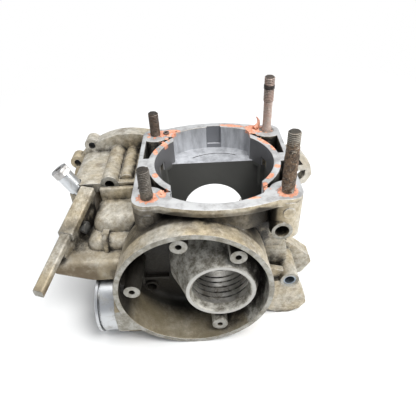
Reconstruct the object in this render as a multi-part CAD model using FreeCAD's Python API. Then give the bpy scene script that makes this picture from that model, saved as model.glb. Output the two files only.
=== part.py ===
import FreeCAD, Part
import math
import os

# Single-cylinder engine crankcase, stripped: two castings that meet on the plane Y = 0.
# Origin: centre of the cylinder seat, on its machined face. +Z up out of the seat.
# The crankshaft lies along Y, below the seat. Sizes are in millimetres.
V = FreeCAD.Vector

# Inside of the crank chamber, front to back
CHAMBER_HALF = 35.0

# Cylinder seat
SEAT_LENGTH = 138.0
SEAT_WIDTH = 131.0
SEAT_CORNER_R = 12.0
SEAT_BULGE = 9.0
SEAT_BULGE_HALF = 47.0
SEAT_PLATE = 7.0
BORE_R = 54.0
RELIEF_HALF = 38.0
RELIEF_R = 66.0
RELIEF_DEPTH = 24.0
RELIEF_CORNER_R = 4.0
RELIEF_WALL = 4.0
SLOT_X = 3.0
SLOT_WIDTH = 14.0
SLOT_SINK = 2.4
SLOT_HEEL = 4.5
SKIRT_STEPS = ((52.0, 26.0, 15.0), (46.5, CHAMBER_HALF, 28.0))
STEP_BOTTOM = 60.0
SHELF_ARC_R = 44.0
SHELF_ARC_CENTRE = (4.4, 8.7)
SHELF_ARC_ENDS = (-19.5, 24.0)
SHELF_ARC_WIDTH = 0.9
SHELF_ARC_DEPTH = 0.9
PORT_RING = 6.0
PORT_SIDE_WALL = 4.0
PORT_MID_WALL = 7.0
PORT_BOSS_R = 15.0
PORT_END_GAP = 8.0
PORT_STUD_GAP = 6.0
PORT_DEPTH = 38.0
PORT_INNER_X = 30.0
SEAT_NECK_SHRINK = 2.5
SKIRT_BOTTOM_RISE = 20.0
STUD_SPACING_X = 113.0
STUD_SPACING_Y = 107.8
COLUMN_R = 12.5
COLUMN_HEIGHT = 40.0
MARK_R = 5.0
MARK_DROP = 13.0
MARK_PROUD = 0.5

# Crank chamber and its main bearings
CRANK_DROP = 83.2
CHAMBER_R = 58.0
CASE_WALL = 6.9
CHEEK = 8.0
MAIN_SEAT_R = 36.5
MAIN_SHOULDER_R = 32.5
MAIN_SHOULDER = 5.0
MAIN_BOSS_R = 44.0

# Flywheel housing, a round cup on the near side
HOUSING_RIGHT = 45.5
HOUSING_TOP_DROP = 10.9
HOUSING_R = 68.6
HOUSING_DRAFT = 2.4
HOUSING_BACK_R = 9.0
HOUSING_REACH = 88.9
RIM_WALL = 4.4
RIM_LIP = 3.0
CUP_FLOOR_EDGE_R = 5.0
CRANK_BOSS_SETBACK = 5.0
CRANK_BOSS_R = 30.6
CRANK_BOSS_ROOT_R = 46.0
CRANK_MOUTH_R = 26.4
CRANK_MOUTH_CHAMFER = 1.2
PAD_INSET = 15.1
PAD_ANGLES = (100.5, 45.3, -66.0, 177.3)
PAD_R = 7.2
PAD_SETBACK = 4.3
PAD_HOLE_R = 2.6
PAD_HOLE_DEPTH = 14.0
PAD_DRAFT = 1.6
FLOOR_BOSS = (-66.5, -115.5)
FLOOR_BOSS_R = 6.8
FLOOR_BOSS_HEIGHT = 3.0
FLOOR_BOSS_HOLE_R = 4.6
FLOOR_BOSS_HOLE_DEPTH = 12.0
FLOOR_LEDGE = (-74.0, -48.0, -102.5, -99.5)
FLOOR_LEDGE_HEIGHT = 5.0
FLOOR_RIB = (-73.0, -70.6, -101.0, -72.0)
FLOOR_RIB_HEIGHT = 11.0

# Gearbox side, on the left of both halves, and the drive tray behind it
GEAR_X = -86.0
GEAR_DROP = 71.0
TRAY_R = 70.0
TRAY_WALL = 6.0
TRAY_FLOOR = 5.0
TRAY_DEPTH = 10.0
FAR_REACH = 76.0
GEAR_LEFT = 138.0
GEAR_TOP_DROP = 20.0
GEAR_BOTTOM_DROP = 108.0
GEAR_WALL = 7.0
GEAR_EDGE_R = 12.0
GEAR_SPACE_RIGHT = 72.0
GEAR_SPACE_R = 6.0
NEAR_BODY = (-118.0, -50.0, -50.0, 14.0, -104.0, -48.0)
NEAR_BODY_R = 10.0
DOME = (-114.0, -62.0, -38.0, 15.0, -80.0, -35.0)
DOME_R = 14.0
NEAR_RIB = (-103.0, -97.0, -44.0, -10.0, -70.0, -45.0)
SHAFT_SEAT_START = 30.0
SHAFT_SEATS = ((-84.0, -48.0, 17.5), (-104.0, -84.0, 20.0))
COVER_SCREW_R = 3.6
COVER_BOSS_R = 7.6
COVER_BOSS_LENGTH = 14.0
GEAR_BOSS_ANGLES = (124, 147, 185, 222, 256)
CRANK_BOSS_ANGLES = (-56, -18, 24)
JOINT_TUBE = (-98.6, -21.8)
JOINT_TUBE_R = 8.4
JOINT_HOLE_R = 4.3
RIDGE_X = -83.0
RIDGE_R = 7.0
RIDGE_START = 6.0

# Sloping side rail of the near half, and the shelf that carries it
RAIL_TOP = (-119.0, -3.0, -21.0)
RAIL_TIP = (-150.0, -92.0, -59.5)
RAIL_STEP = 0.48
RAIL_WIDTH = 14.5
RAIL_NARROW = 9.5
RAIL_THICK = 8.0
RAIL_WEB = 7.0
RAIL_EDGE_R = 1.6
SHELF_TOP = -59.0
SHELF_OUTLINE = ((-147.0, SHELF_TOP), (-147.0, -71.0), (-104.0, -86.0), (-76.0, -92.0), (-76.0, SHELF_TOP))
SHELF_FRONT = 66.0
SHELF_BACK = 8.0
SHELF_EDGE_R = 5.0
LEDGE = (-144.0, -100.0, -40.0, 12.0, -92.0, -64.0)
LEDGE_R = 6.0

# Round side spigot, low on the left
SPIGOT_Y = -59.5
SPIGOT_LIFT = 35.1
SPIGOT_R = 29.2
SPIGOT_LENGTH = 17.5
SPIGOT_LIP = 0.9
SPIGOT_BORE_R = 24.0
SPIGOT_SEAT_R = 26.0
SPIGOT_SEAT_DEPTH = 6.0
SPIGOT_CAST_R = 31.0
SPIGOT_ROOT = 3.3
SPIGOT_GROOVE = 1.2
SPIGOT_GROOVE_WIDTH = 1.4
SPIGOT_LIP_WIDTH = 2.6
SPIGOT_CLEARANCE = 3.0
SPIGOT_FOOT_FRONT = 14.0
SPIGOT_FOOT_BACK = 20.0

# Mounting tubes and lugs on the right
UPPER_BOSS = (52.0, -31.5)
UPPER_BOSS_R = 8.8
UPPER_BOSS_REACH = 67.0
UPPER_HOLE_DEPTH = 24.0
LOWER_TUBE_X = 66.0
LOWER_TUBE_LIFT = 50.1
LOWER_TUBE_R = 8.8
LOWER_TUBE_REACH = 62.0
TUBE_BACK = 64.0
TUBE_HOLE_R = 5.9
BUSH_WALL = 1.1
BUSH_LENGTH = 16.0
LUG_THICK = 14.0
FOOT_FRONT = 60.0
FOOT_OUTLINE = ((40.0, 46.1), (73.0, 50.1), (84.0, 24.1), (86.0, 14.1), (80.0, 5.1), (70.0, 0.0), (58.0, 0.0),
                (40.0, 10.1))
EAR_FRONT = 26.0
EAR_OUTLINE = ((50.0, 78.1), (72.0, 64.1), (94.0, 45.1), (97.0, 36.1), (88.0, 21.1), (60.0, 14.1), (45.0, 28.1))
LUG_RIB_OUTLINE = ((38.0, 64.1), (64.0, 56.1), (64.0, 48.1), (38.0, 44.1))
LUG_RIB_FRONT = 56.0
LUG_RIB_THICK = 6.0
LUG_WEB_OUTLINE = ((40.0, 106.1), (61.0, 106.1), (72.0, 52.1), (62.0, 46.1), (40.0, 38.1))
LUG_WEB_FRONT = 24.0
LUG_WEB_BACK = 12.0
LUG_EDGE_R = 4.0
LOOP_FRONT = 14.0
LOOP_THICK = 11.0
LOOP_EDGE_R = 3.0
LOOP_OUTLINE = ((60.0, -3.0), (80.0, -1.0), (94.0, -19.0), (97.0, -30.0), (92.0, -40.0), (84.0, -43.0),
                (60.0, -40.0))
LOOP_WINDOWS = (((74.0, -7.0), (78.0, -7.0), (87.0, -19.0), (74.0, -21.0)),
                ((74.0, -27.0), (90.0, -25.0), (90.0, -31.0), (86.0, -36.0), (74.0, -35.0)))

# Loose pieces
STUD_R = 5.0
STUD_ROOT_R = 4.7
STUD_SHANK_R = 4.3
STUD_FOOT = 3.0
STUD_STEP = 1.0
STUD_HOLE_PAST = 2.0
STUD_SEAT = 22.0
STUD_CHAMFER = 1.2
STUD_HEIGHTS = {"front_left": 27.0, "back_left": 24.0, "front_right": 53.0, "back_right": 55.0}
BACK_RIGHT_THREAD = 24.0
FIT = 0.05
SEAT_DOWEL = (-45.6, 55.6)
DOWEL_R = 3.0
DOWEL_WALL = 1.0
DOWEL_STAND = 1.6
DOWEL_SINK = 8.0
TUBE_DOWEL_WALL = 1.4
JOINT_DOWEL_HALF = 5.5
PIN_R = 3.0
PIN_X = 61.5
PIN_DROP = 20.0
SEAL_SLEEVE_WALL = 2.6
SEAL_SLEEVE_START = 9.0
GROOVE_DEPTH = 1.4
GROOVE_WIDTH = 2.2
GROOVE_PITCH = 6.2
GROOVE_MARGIN = 4.0
RACE_WALL = 4.0
RACE_WIDTH = 16.0
CIRCLIP_WIDTH = 1.6
COLLAR_R = 7.4
COLLAR_THICK = 1.6
FLANGE_RING = 1.3
SEALANT_THICK = 1.1
SEALANT_R = 10.4
SEALANT_POINTS = 24
FITTING_AXIS = (-0.5, 0.05, 0.86)
FITTING_FOOT = (-129.5, 4.0, -30.0)
FITTING_R = 7.4
FITTING_LENGTH = 21.0
FITTING_SINK = 3.0
FITTING_SPOT = 0.6
FITTING_BORE_R = 3.2
HEX_ACROSS = 15.5
HEX_HEIGHT = 7.5
SCREW_ALONG = 0.265
SCREW_UNDER = 17.5
SCREW_R = 3.0
SCREW_LENGTH = 9.0
SCREW_HEX_ACROSS = 10.0
SCREW_HEAD = 5.0

# Worked out from the sizes above
HOUSING_X = HOUSING_RIGHT - HOUSING_R
HOUSING_DROP = HOUSING_TOP_DROP + HOUSING_R
FLOOR_DROP = HOUSING_DROP + HOUSING_R
PAD_CIRCLE_R = HOUSING_R - PAD_INSET
CHAMBER_OUTER_R = CHAMBER_R + CASE_WALL
SPIGOT_DROP = FLOOR_DROP - SPIGOT_LIFT
SPIGOT_CAST_END = HOUSING_R - HOUSING_X + SPIGOT_ROOT
LOWER_TUBE = (LOWER_TUBE_X, LOWER_TUBE_LIFT - FLOOR_DROP)
CUP_FLOOR = CHAMBER_HALF + CHEEK
SEAT_HALF_X = SEAT_LENGTH / 2
SEAT_HALF_Y = SEAT_WIDTH / 2
STUD_X = STUD_SPACING_X / 2
STUD_Y = STUD_SPACING_Y / 2
BEYOND = 200.0


# Small builders that the whole part shares

def cylinder_y(x, z, radius, y0, y1):
    """Cylinder along Y between y0 and y1."""
    return Part.makeCylinder(radius, y1 - y0, V(x, y0, z), V(0, 1, 0))


def cylinder_z(x, y, radius, z0, z1):
    return Part.makeCylinder(radius, z1 - z0, V(x, y, z0), V(0, 0, 1))


def block(x0, x1, y0, y1, z0, z1):
    return Part.makeBox(x1 - x0, y1 - y0, z1 - z0, V(x0, y0, z0))


def polygon_prism(points, direction):
    """Prism on a closed outline of straight sides."""
    wire = Part.makePolygon([V(*p) for p in points] + [V(*points[0])])
    return Part.Face(wire).extrude(V(*direction))


def prism_y(outline, y0, y1):
    """Prism along Y on an outline of (x, z) points."""
    return polygon_prism([(x, y0, z) for x, z in outline], (0, y1 - y0, 0))


def prism_z(outline, z0, z1):
    """Prism along Z on an outline of (x, y) points."""
    return polygon_prism([(x, y, z0) for x, y in outline], (0, 0, z1 - z0))


def ring_section(profile, centre, axis):
    """Solid of revolution on (radius, along) points about an axis through a centre."""
    wire = Part.makePolygon([V(r, 0, a) for r, a in profile] + [V(profile[0][0], 0, profile[0][1])])
    solid = Part.Face(wire).revolve(V(0, 0, 0), V(0, 0, 1), 360)
    turn = FreeCAD.Rotation(V(0, 0, 1), axis)
    solid.Placement = FreeCAD.Placement(centre, turn)
    return solid


def edges_along(shape, direction, test):
    """Straight edges along a direction whose middle passes a test."""
    found = []
    for edge in shape.Edges:
        if len(edge.Vertexes) != 2:
            continue
        run = edge.Vertexes[1].Point - edge.Vertexes[0].Point
        if run.Length > 1e-6 and abs(run.normalize().dot(direction)) > 0.999:
            middle = edge.CenterOfMass
            if test(middle):
                found.append(edge)
    return found


def rounded_block(x0, x1, y0, y1, z0, z1, radius):
    """Block with every edge rounded."""
    shape = block(x0, x1, y0, y1, z0, z1)
    return shape.makeFillet(radius, shape.Edges)


def join(first, others):
    return first.fuse(others).removeSplitter()


def cut_each(shape, tools):
    """Takes the tools away one after the other."""
    for tool in tools:
        shape = shape.cut(tool)
    return shape


def near_side(shape):
    """The stretch of a shape that lies in front of the joint plane."""
    box = shape.BoundBox
    if box.YMax <= 0:
        return shape
    cutter = block(box.XMin - 1, box.XMax + 1, box.YMin - 1, 0, box.ZMin - 1, box.ZMax + 1)
    return shape.common(cutter)


def far_side(shape):
    box = shape.BoundBox
    cutter = block(box.XMin - 1, box.XMax + 1, 0, box.YMax + 1, box.ZMin - 1, box.ZMax + 1)
    return shape.common(cutter)


# The cylinder seat and the chamber, the same on both halves

def seat_outline(shrink):
    """Seat outline: a rounded rectangle with a shallow bulge front and back."""
    hx = SEAT_HALF_X - shrink
    hy = SEAT_HALF_Y - shrink
    plate = block(-hx, hx, -hy, hy, 0, 1)
    plate = plate.makeFillet(SEAT_CORNER_R, edges_along(plate, V(0, 0, 1), lambda m: True))
    reach = hy + SEAT_BULGE
    rise = SEAT_BULGE
    radius = (SEAT_BULGE_HALF ** 2 + rise ** 2) / (2 * rise)
    bulge_box = block(-SEAT_BULGE_HALF, SEAT_BULGE_HALF, -reach, reach, 0, 1)
    front = cylinder_z(0, radius - reach, radius, 0, 1)
    back = cylinder_z(0, reach - radius, radius, 0, 1)
    bulge = bulge_box.common(front).common(back)
    return plate.fuse(bulge).removeSplitter()


def stretch_z(unit_plate, z0, z1):
    """Takes a 1 mm plate's lower face to a prism from z0 to z1."""
    lowest = min(unit_plate.Faces, key=lambda f: f.CenterOfMass.z)
    prism = lowest.extrude(V(0, 0, z1 - z0))
    prism.translate(V(0, 0, z0))
    return prism


def seat_solid():
    """Seat plate, stud columns, port walls and neck, before any cut."""
    plate = stretch_z(seat_outline(0), -SEAT_PLATE, 0)
    wall = stretch_z(seat_outline(SEAT_NECK_SHRINK), -PORT_DEPTH - CASE_WALL, -SEAT_PLATE)
    wall_end = STUD_Y - PORT_END_GAP
    port_walls = wall.common(block(-SEAT_HALF_X, SEAT_HALF_X, -wall_end, wall_end, -BEYOND, 0))
    columns = []
    for sx in (-1, 1):
        for sy in (-1, 1):
            columns.append(cylinder_z(sx * STUD_X, sy * STUD_Y, COLUMN_R, -COLUMN_HEIGHT, -SEAT_PLATE / 2))
        columns.append(cylinder_y(sx * STUD_X, -MARK_DROP, MARK_R, -STUD_Y - COLUMN_R - MARK_PROUD, -STUD_Y))
    skirt = cylinder_z(0, 0, BORE_R + PORT_RING, SKIRT_BOTTOM_RISE - CRANK_DROP, -SEAT_PLATE / 2)
    skirt = skirt.common(block(-BEYOND, BEYOND, -CUP_FLOOR, CUP_FLOOR, -BEYOND, 0))
    return join(plate, [port_walls, relief_wall(), skirt] + columns)


def relief_prism(grow, z0, z1):
    """The relief in front of and behind the bore: a wider round between two flat sides."""
    half = RELIEF_HALF + grow
    around = cylinder_z(0, 0, RELIEF_R + grow, z0, z1)
    prism = around.common(block(-half, half, -2 * RELIEF_R, 2 * RELIEF_R, z0, z1))
    corners = edges_along(prism, V(0, 0, 1), lambda m: abs(abs(m.x) - half) < 0.1)
    return prism.makeFillet(RELIEF_CORNER_R + grow, corners)


def relief_wall():
    """The relief with its wall round it, before the relief is cut out."""
    return relief_prism(RELIEF_WALL, -RELIEF_DEPTH - RELIEF_WALL, -SEAT_PLATE / 2)


def seat_cuts():
    """Bore, reliefs, transfer ports, chamber and stud holes."""
    cuts = [cylinder_z(0, 0, BORE_R, -RELIEF_DEPTH, 1)]
    below = cylinder_z(0, 0, BORE_R, -CRANK_DROP, -RELIEF_DEPTH + 1)
    cuts.append(below.common(block(-BEYOND, BEYOND, -CHAMBER_HALF, CHAMBER_HALF, -BEYOND, 0)))
    for reach, half, top in SKIRT_STEPS:
        cuts.append(block(-reach, reach, -half, half, -STEP_BOTTOM, -top))
    cuts.append(relief_prism(0, -RELIEF_DEPTH, 1))
    cuts.append(cylinder_y(0, -CRANK_DROP, CHAMBER_R, -CHAMBER_HALF, CHAMBER_HALF))
    slot = cylinder_z(0, 0, RELIEF_R + SLOT_SINK, -RELIEF_DEPTH + SLOT_HEEL, 1)
    cuts.append(slot.common(block(SLOT_X - SLOT_WIDTH / 2, SLOT_X + SLOT_WIDTH / 2, 0, 2 * RELIEF_R,
                                  -BEYOND, BEYOND)))
    cuts.append(shelf_groove())
    for sx in (-1, 1):
        for sy in (-1, 1):
            cuts.append(transfer_port(sx, sy))
            cuts.append(cylinder_z(sx * STUD_X, sy * STUD_Y, STUD_ROOT_R + FIT, -STUD_SEAT - STUD_HOLE_PAST, 1))
    x, y = stud_places()["back_right"]
    cuts.append(cylinder_z(x, y, COLLAR_R + FIT, -COLLAR_THICK, 1))
    return cuts


def shelf_groove():
    """Fine arc turned in the relief's shelf, behind the bore."""
    x, y = SHELF_ARC_CENTRE
    z = -RELIEF_DEPTH - SHELF_ARC_DEPTH
    outer = cylinder_z(x, y, SHELF_ARC_R + SHELF_ARC_WIDTH / 2, z, 1 - RELIEF_DEPTH)
    inner = cylinder_z(x, y, SHELF_ARC_R - SHELF_ARC_WIDTH / 2, z - 1, 2 - RELIEF_DEPTH)
    return outer.cut(inner).common(block(*SHELF_ARC_ENDS, y, BEYOND, -BEYOND, 0))


def transfer_port(sx, sy):
    """One cored port between the bore wall, the side wall and the stud boss."""
    outer = SEAT_HALF_X - PORT_SIDE_WALL
    port = block(PORT_INNER_X, outer, PORT_MID_WALL, STUD_Y - PORT_STUD_GAP, -PORT_DEPTH, 1)
    port = port.cut(cylinder_z(0, 0, BORE_R + PORT_RING, -BEYOND, 2))
    port = port.cut(cylinder_z(STUD_X, STUD_Y, PORT_BOSS_R, -BEYOND, 2))
    port = max(port.Solids, key=lambda s: s.Volume)
    if sx < 0:
        port = port.mirror(V(0, 0, 0), V(1, 0, 0))
    if sy < 0:
        port = port.mirror(V(0, 0, 0), V(0, 1, 0))
    return port


def chamber_solid():
    return cylinder_y(0, -CRANK_DROP, CHAMBER_OUTER_R, -CUP_FLOOR, CUP_FLOOR)


# Flywheel side

def housing_solid():
    """Outside of the cup: a drafted wall behind a plain rim, with a rounded back edge."""
    back = CUP_FLOOR - CHEEK / 2
    depth = HOUSING_REACH - back
    small = HOUSING_R - HOUSING_DRAFT
    rim = cylinder_y(HOUSING_X, -HOUSING_DROP, HOUSING_R, -HOUSING_REACH, -HOUSING_REACH + RIM_LIP)
    cone = Part.makeCone(HOUSING_R, small, depth - RIM_LIP,
                         V(HOUSING_X, -HOUSING_REACH + RIM_LIP, -HOUSING_DROP), V(0, 1, 0))
    edge = [e for e in cone.Edges if abs(e.BoundBox.YMin + back) < 1e-3 and e.BoundBox.YLength < 1e-3]
    return rim.fuse(cone.makeFillet(HOUSING_BACK_R, edge))


def housing_cavity():
    """Inside of the cup; the relief's wall hangs into its top."""
    depth = HOUSING_REACH - CUP_FLOOR
    inner = HOUSING_R - RIM_WALL
    cavity = Part.makeCone(inner, inner - HOUSING_DRAFT, depth,
                           V(HOUSING_X, -HOUSING_REACH, -HOUSING_DROP), V(0, 1, 0))
    floor_edge = [e for e in cavity.Edges
                  if abs(e.BoundBox.YMin + CUP_FLOOR) < 1e-3 and e.BoundBox.YLength < 1e-3]
    return cavity.makeFillet(CUP_FLOOR_EDGE_R, floor_edge).cut(relief_wall())


def crank_boss():
    """Flared boss from the cup's floor to the ring round the crank mouth."""
    face = HOUSING_REACH - CRANK_BOSS_SETBACK
    profile = [(0, 0), (CRANK_BOSS_ROOT_R, 0), (CRANK_BOSS_ROOT_R - 1, 10), (CRANK_BOSS_R + 8, 22),
               (CRANK_BOSS_R + 2.4, face - CUP_FLOOR - 6), (CRANK_BOSS_R + 0.6, face - CUP_FLOOR - 1),
               (CRANK_BOSS_R, face - CUP_FLOOR), (0, face - CUP_FLOOR)]
    boss = ring_section(profile, V(0, -CUP_FLOOR, -CRANK_DROP), V(0, -1, 0))
    return boss.common(cylinder_y(HOUSING_X, -HOUSING_DROP, HOUSING_R - 1, -HOUSING_REACH, -CUP_FLOOR))


def crank_mouth_cuts():
    face = HOUSING_REACH - CRANK_BOSS_SETBACK
    mouth = cylinder_y(0, -CRANK_DROP, CRANK_MOUTH_R, -face - 1, -CHAMBER_HALF + 1)
    seat = cylinder_y(0, -CRANK_DROP, CRANK_MOUTH_R + 2.6, -face + 9, -CHAMBER_HALF + 1)
    lead = Part.makeCone(CRANK_MOUTH_R + CRANK_MOUTH_CHAMFER, CRANK_MOUTH_R, CRANK_MOUTH_CHAMFER,
                         V(0, -face, -CRANK_DROP), V(0, 1, 0))
    return [mouth, seat, lead]


def pad_places():
    places = []
    for angle in PAD_ANGLES:
        turn = math.radians(angle)
        places.append((HOUSING_X + PAD_CIRCLE_R * math.cos(turn),
                       -HOUSING_DROP + PAD_CIRCLE_R * math.sin(turn), turn))
    return places


def pad_columns():
    """Four drafted columns, each with a web to the cup wall, that carry the screw pads."""
    face = HOUSING_REACH - PAD_SETBACK
    solids = []
    for x, z, turn in pad_places():
        column = Part.makeCone(PAD_R, PAD_R + PAD_DRAFT, face - CUP_FLOOR, V(x, -face, z), V(0, 1, 0))
        solids.append(column)
        web = block(0, HOUSING_R - 2 - PAD_CIRCLE_R, -face + 5, -CUP_FLOOR, -PAD_R * 0.6, PAD_R * 0.6)
        web.rotate(V(0, 0, 0), V(0, 1, 0), -math.degrees(turn))
        web.translate(V(x, 0, z))
        solids.append(web)
    return solids


def floor_features():
    """Ledge, rib and small hole boss cast on the cup's floor, left of the crank boss."""
    root = 1 - CUP_FLOOR
    x0, x1, z0, z1 = FLOOR_LEDGE
    ledge = block(x0, x1, -CUP_FLOOR - FLOOR_LEDGE_HEIGHT, root, z0, z1)
    x0, x1, z0, z1 = FLOOR_RIB
    rib = block(x0, x1, -CUP_FLOOR - FLOOR_RIB_HEIGHT, root, z0, z1)
    boss = cylinder_y(*FLOOR_BOSS, FLOOR_BOSS_R, -CUP_FLOOR - FLOOR_BOSS_HEIGHT, root)
    return [ledge, rib, boss]


def floor_boss_hole():
    start = -CUP_FLOOR - FLOOR_BOSS_HEIGHT
    return cylinder_y(*FLOOR_BOSS, FLOOR_BOSS_HOLE_R, start - 1, start + FLOOR_BOSS_HOLE_DEPTH)


def pad_holes():
    face = HOUSING_REACH - PAD_SETBACK
    return [cylinder_y(x, z, PAD_HOLE_R, -face - 1, -face + PAD_HOLE_DEPTH) for x, z, turn in pad_places()]


def near_gearbox():
    """Near half of the gearbox: a low body, a domed top, a rib and the shelf out to the rail."""
    body = rounded_block(*NEAR_BODY, NEAR_BODY_R)
    dome = rounded_block(*DOME, DOME_R)
    shelf = prism_y(SHELF_OUTLINE, -SHELF_FRONT, -SHELF_BACK)
    inner_x = SHELF_OUTLINE[-1][0]
    shelf = shelf.makeFillet(SHELF_EDGE_R, [e for e in shelf.Edges if abs(e.CenterOfMass.x - inner_x) > 1])
    ledge = rounded_block(*LEDGE, LEDGE_R)
    room = Part.makeCylinder(SPIGOT_CAST_R + SPIGOT_CLEARANCE, BEYOND,
                             V(-SPIGOT_CAST_END - BEYOND, SPIGOT_Y, -SPIGOT_DROP), V(1, 0, 0))
    return [body.cut(room), dome, block(*NEAR_RIB), shelf.cut(room), ledge.cut(room)]


def slanted_bar(start, end, width, drop0, drop1):
    """Bar between two points, level across its width, from drop0 to drop1 below the points."""
    run = end - start
    across = V(-run.y, run.x, 0).normalize() * (width / 2)
    corners = [start + across - V(0, 0, drop0), start - across - V(0, 0, drop0),
               start - across - V(0, 0, drop1), start + across - V(0, 0, drop1)]
    return polygon_prism([tuple(c) for c in corners], tuple(run))


def side_rail():
    """Sloping rail: wide at the top, narrow at the tip, on a web that stands on the shelf."""
    top = V(*RAIL_TOP)
    tip = V(*RAIL_TIP)
    step = top + (tip - top) * RAIL_STEP
    wide = slanted_bar(top, step, RAIL_WIDTH, 0, RAIL_THICK)
    slim = slanted_bar(step, tip, RAIL_NARROW, 0.8, RAIL_THICK)
    wide = wide.makeFillet(RAIL_EDGE_R, [e for e in wide.Edges if e.Length > RAIL_WIDTH + 1])
    slim = slim.makeFillet(RAIL_EDGE_R, [e for e in slim.Edges if e.Length > RAIL_WIDTH + 1])
    web = slanted_bar(top, tip, RAIL_WEB, RAIL_THICK / 2, BEYOND)
    web = web.common(block(-BEYOND, 0, SHELF_BACK - SHELF_FRONT, RAIL_TOP[1], SHELF_TOP - SHELF_BACK, 0))
    return [wide, slim, web]


def spigot_boss():
    """Cast root of the side spigot, with its flat foot under it."""
    length = SPIGOT_CAST_END - 50
    boss = Part.makeCylinder(SPIGOT_CAST_R, length, V(-SPIGOT_CAST_END, SPIGOT_Y, -SPIGOT_DROP), V(1, 0, 0))
    foot = block(-SPIGOT_CAST_END + 4, -50, SPIGOT_Y - SPIGOT_FOOT_FRONT, SPIGOT_Y + SPIGOT_FOOT_BACK,
                 -FLOOR_DROP, -SPIGOT_DROP)
    limit = block(-BEYOND, 0, -HOUSING_REACH, 0, -FLOOR_DROP, 0)
    return boss.common(limit).fuse(foot)


def spigot_cut():
    """Blind bore that the spigot's sleeve is pressed into."""
    return Part.makeCylinder(SPIGOT_SEAT_R, SPIGOT_SEAT_DEPTH + 1,
                             V(-SPIGOT_CAST_END - 1, SPIGOT_Y, -SPIGOT_DROP), V(1, 0, 0))


def from_floor(outline):
    """Turns heights above the floor into heights from the seat."""
    return [(x, height - FLOOR_DROP) for x, height in outline]


def right_lugs():
    """Mounting tubes, the front foot and the ear behind it."""
    ux, uz = UPPER_BOSS
    lx, lz = LOWER_TUBE
    upper = cylinder_y(ux, uz, UPPER_BOSS_R, -UPPER_BOSS_REACH, -CUP_FLOOR)
    lower = cylinder_y(lx, lz, LOWER_TUBE_R, -LOWER_TUBE_REACH, 0)
    foot = prism_y(from_floor(FOOT_OUTLINE), -FOOT_FRONT, -FOOT_FRONT + LUG_THICK)
    foot = foot.makeFillet(LUG_EDGE_R, edges_along(foot, V(0, 1, 0), lambda m: m.x > 56))
    ear = prism_y(from_floor(EAR_OUTLINE), -EAR_FRONT, -EAR_FRONT + LUG_THICK)
    ear = ear.makeFillet(LUG_EDGE_R, edges_along(ear, V(0, 1, 0), lambda m: m.x > 80))
    rib = prism_y(from_floor(LUG_RIB_OUTLINE), -LUG_RIB_FRONT, -LUG_RIB_FRONT + LUG_RIB_THICK)
    web = prism_y(from_floor(LUG_WEB_OUTLINE), -LUG_WEB_FRONT, 0)
    return [upper, lower, foot, ear, rib, web]


def tube_cuts():
    """Blind hole of the upper boss, through hole of the lower tube and its dowel seat."""
    ux, uz = UPPER_BOSS
    lx, lz = LOWER_TUBE
    return [cylinder_y(ux, uz, TUBE_HOLE_R, -UPPER_BOSS_REACH - 1, -UPPER_BOSS_REACH + UPPER_HOLE_DEPTH),
            cylinder_y(lx, lz, TUBE_HOLE_R, -LOWER_TUBE_REACH - 1, TUBE_BACK + 1),
            cylinder_y(lx, lz, TUBE_HOLE_R + TUBE_DOWEL_WALL + FIT, -JOINT_DOWEL_HALF, JOINT_DOWEL_HALF)]


def pin_cuts():
    """Seats of the two locating pins, in the solid walls between the ports."""
    return [cylinder_y(side * PIN_X, -PIN_DROP, PIN_R + FIT, -JOINT_DOWEL_HALF, JOINT_DOWEL_HALF)
            for side in (-1, 1)]


def gear_space():
    """The closed space for the gears, across the joint plane."""
    w = GEAR_WALL
    near = rounded_block(NEAR_BODY[0] + w, -GEAR_SPACE_RIGHT, -CUP_FLOOR + w, 2 * w,
                         NEAR_BODY[4] + w, NEAR_BODY[5] - w, GEAR_SPACE_R)
    far = rounded_block(-GEAR_LEFT + w, -GEAR_SPACE_RIGHT, -2 * w, FAR_REACH - TRAY_DEPTH - TRAY_FLOOR,
                        -GEAR_BOTTOM_DROP + w, -GEAR_TOP_DROP - 1.4 * w, GEAR_SPACE_R)
    return near_side(near), far_side(far)


def flywheel_side_case():
    shell = join(near_side(chamber_solid()), [housing_solid()] + [near_side(s) for s in near_gearbox()]
                 + side_rail() + [spigot_boss()] + right_lugs() + [near_side(seat_solid())])
    shell = cut_each(shell, [housing_cavity()])
    shell = join(shell, [crank_boss()] + pad_columns() + floor_features())
    cuts = [near_side(c) for c in seat_cuts() + tube_cuts() + pin_cuts() if c.BoundBox.YMin < -0.5]
    cuts += crank_mouth_cuts() + pad_holes() + [floor_boss_hole(), spigot_cut(), gear_space()[0], screw_hole()]
    return cut_each(shell, cuts)


# Drive side

def belt_prism(first, second, y0, y1):
    """Prism on the outline of a belt round two circles, each given as (x, z, radius)."""
    (xa, za, ra), (xb, zb, rb) = first, second
    span = math.hypot(xb - xa, zb - za)
    heading = math.atan2(zb - za, xb - xa)
    lean = math.acos((ra - rb) / span)
    points = []
    for side in (1, -1):
        turn = heading + side * lean
        points.append([(xa + ra * math.cos(turn), za + ra * math.sin(turn)),
                       (xb + rb * math.cos(turn), zb + rb * math.sin(turn))])
    outline = [points[0][0], points[0][1], points[1][1], points[1][0]]
    ends = [cylinder_y(xa, za, ra, y0, y1), cylinder_y(xb, zb, rb, y0, y1)]
    return join(prism_y(outline, y0, y1), ends)


def tray_circles(shrink):
    return (GEAR_X, -GEAR_DROP, TRAY_R - shrink), (0, -CRANK_DROP, CHAMBER_OUTER_R - shrink)


def cover_bosses():
    """Places of the drive cover's screws round the tray."""
    places = []
    for angle in GEAR_BOSS_ANGLES:
        turn = math.radians(angle)
        places.append((GEAR_X + TRAY_R * math.cos(turn), -GEAR_DROP + TRAY_R * math.sin(turn)))
    for angle in CRANK_BOSS_ANGLES:
        turn = math.radians(angle)
        places.append((CHAMBER_OUTER_R * math.cos(turn), -CRANK_DROP + CHAMBER_OUTER_R * math.sin(turn)))
    return places


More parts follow.
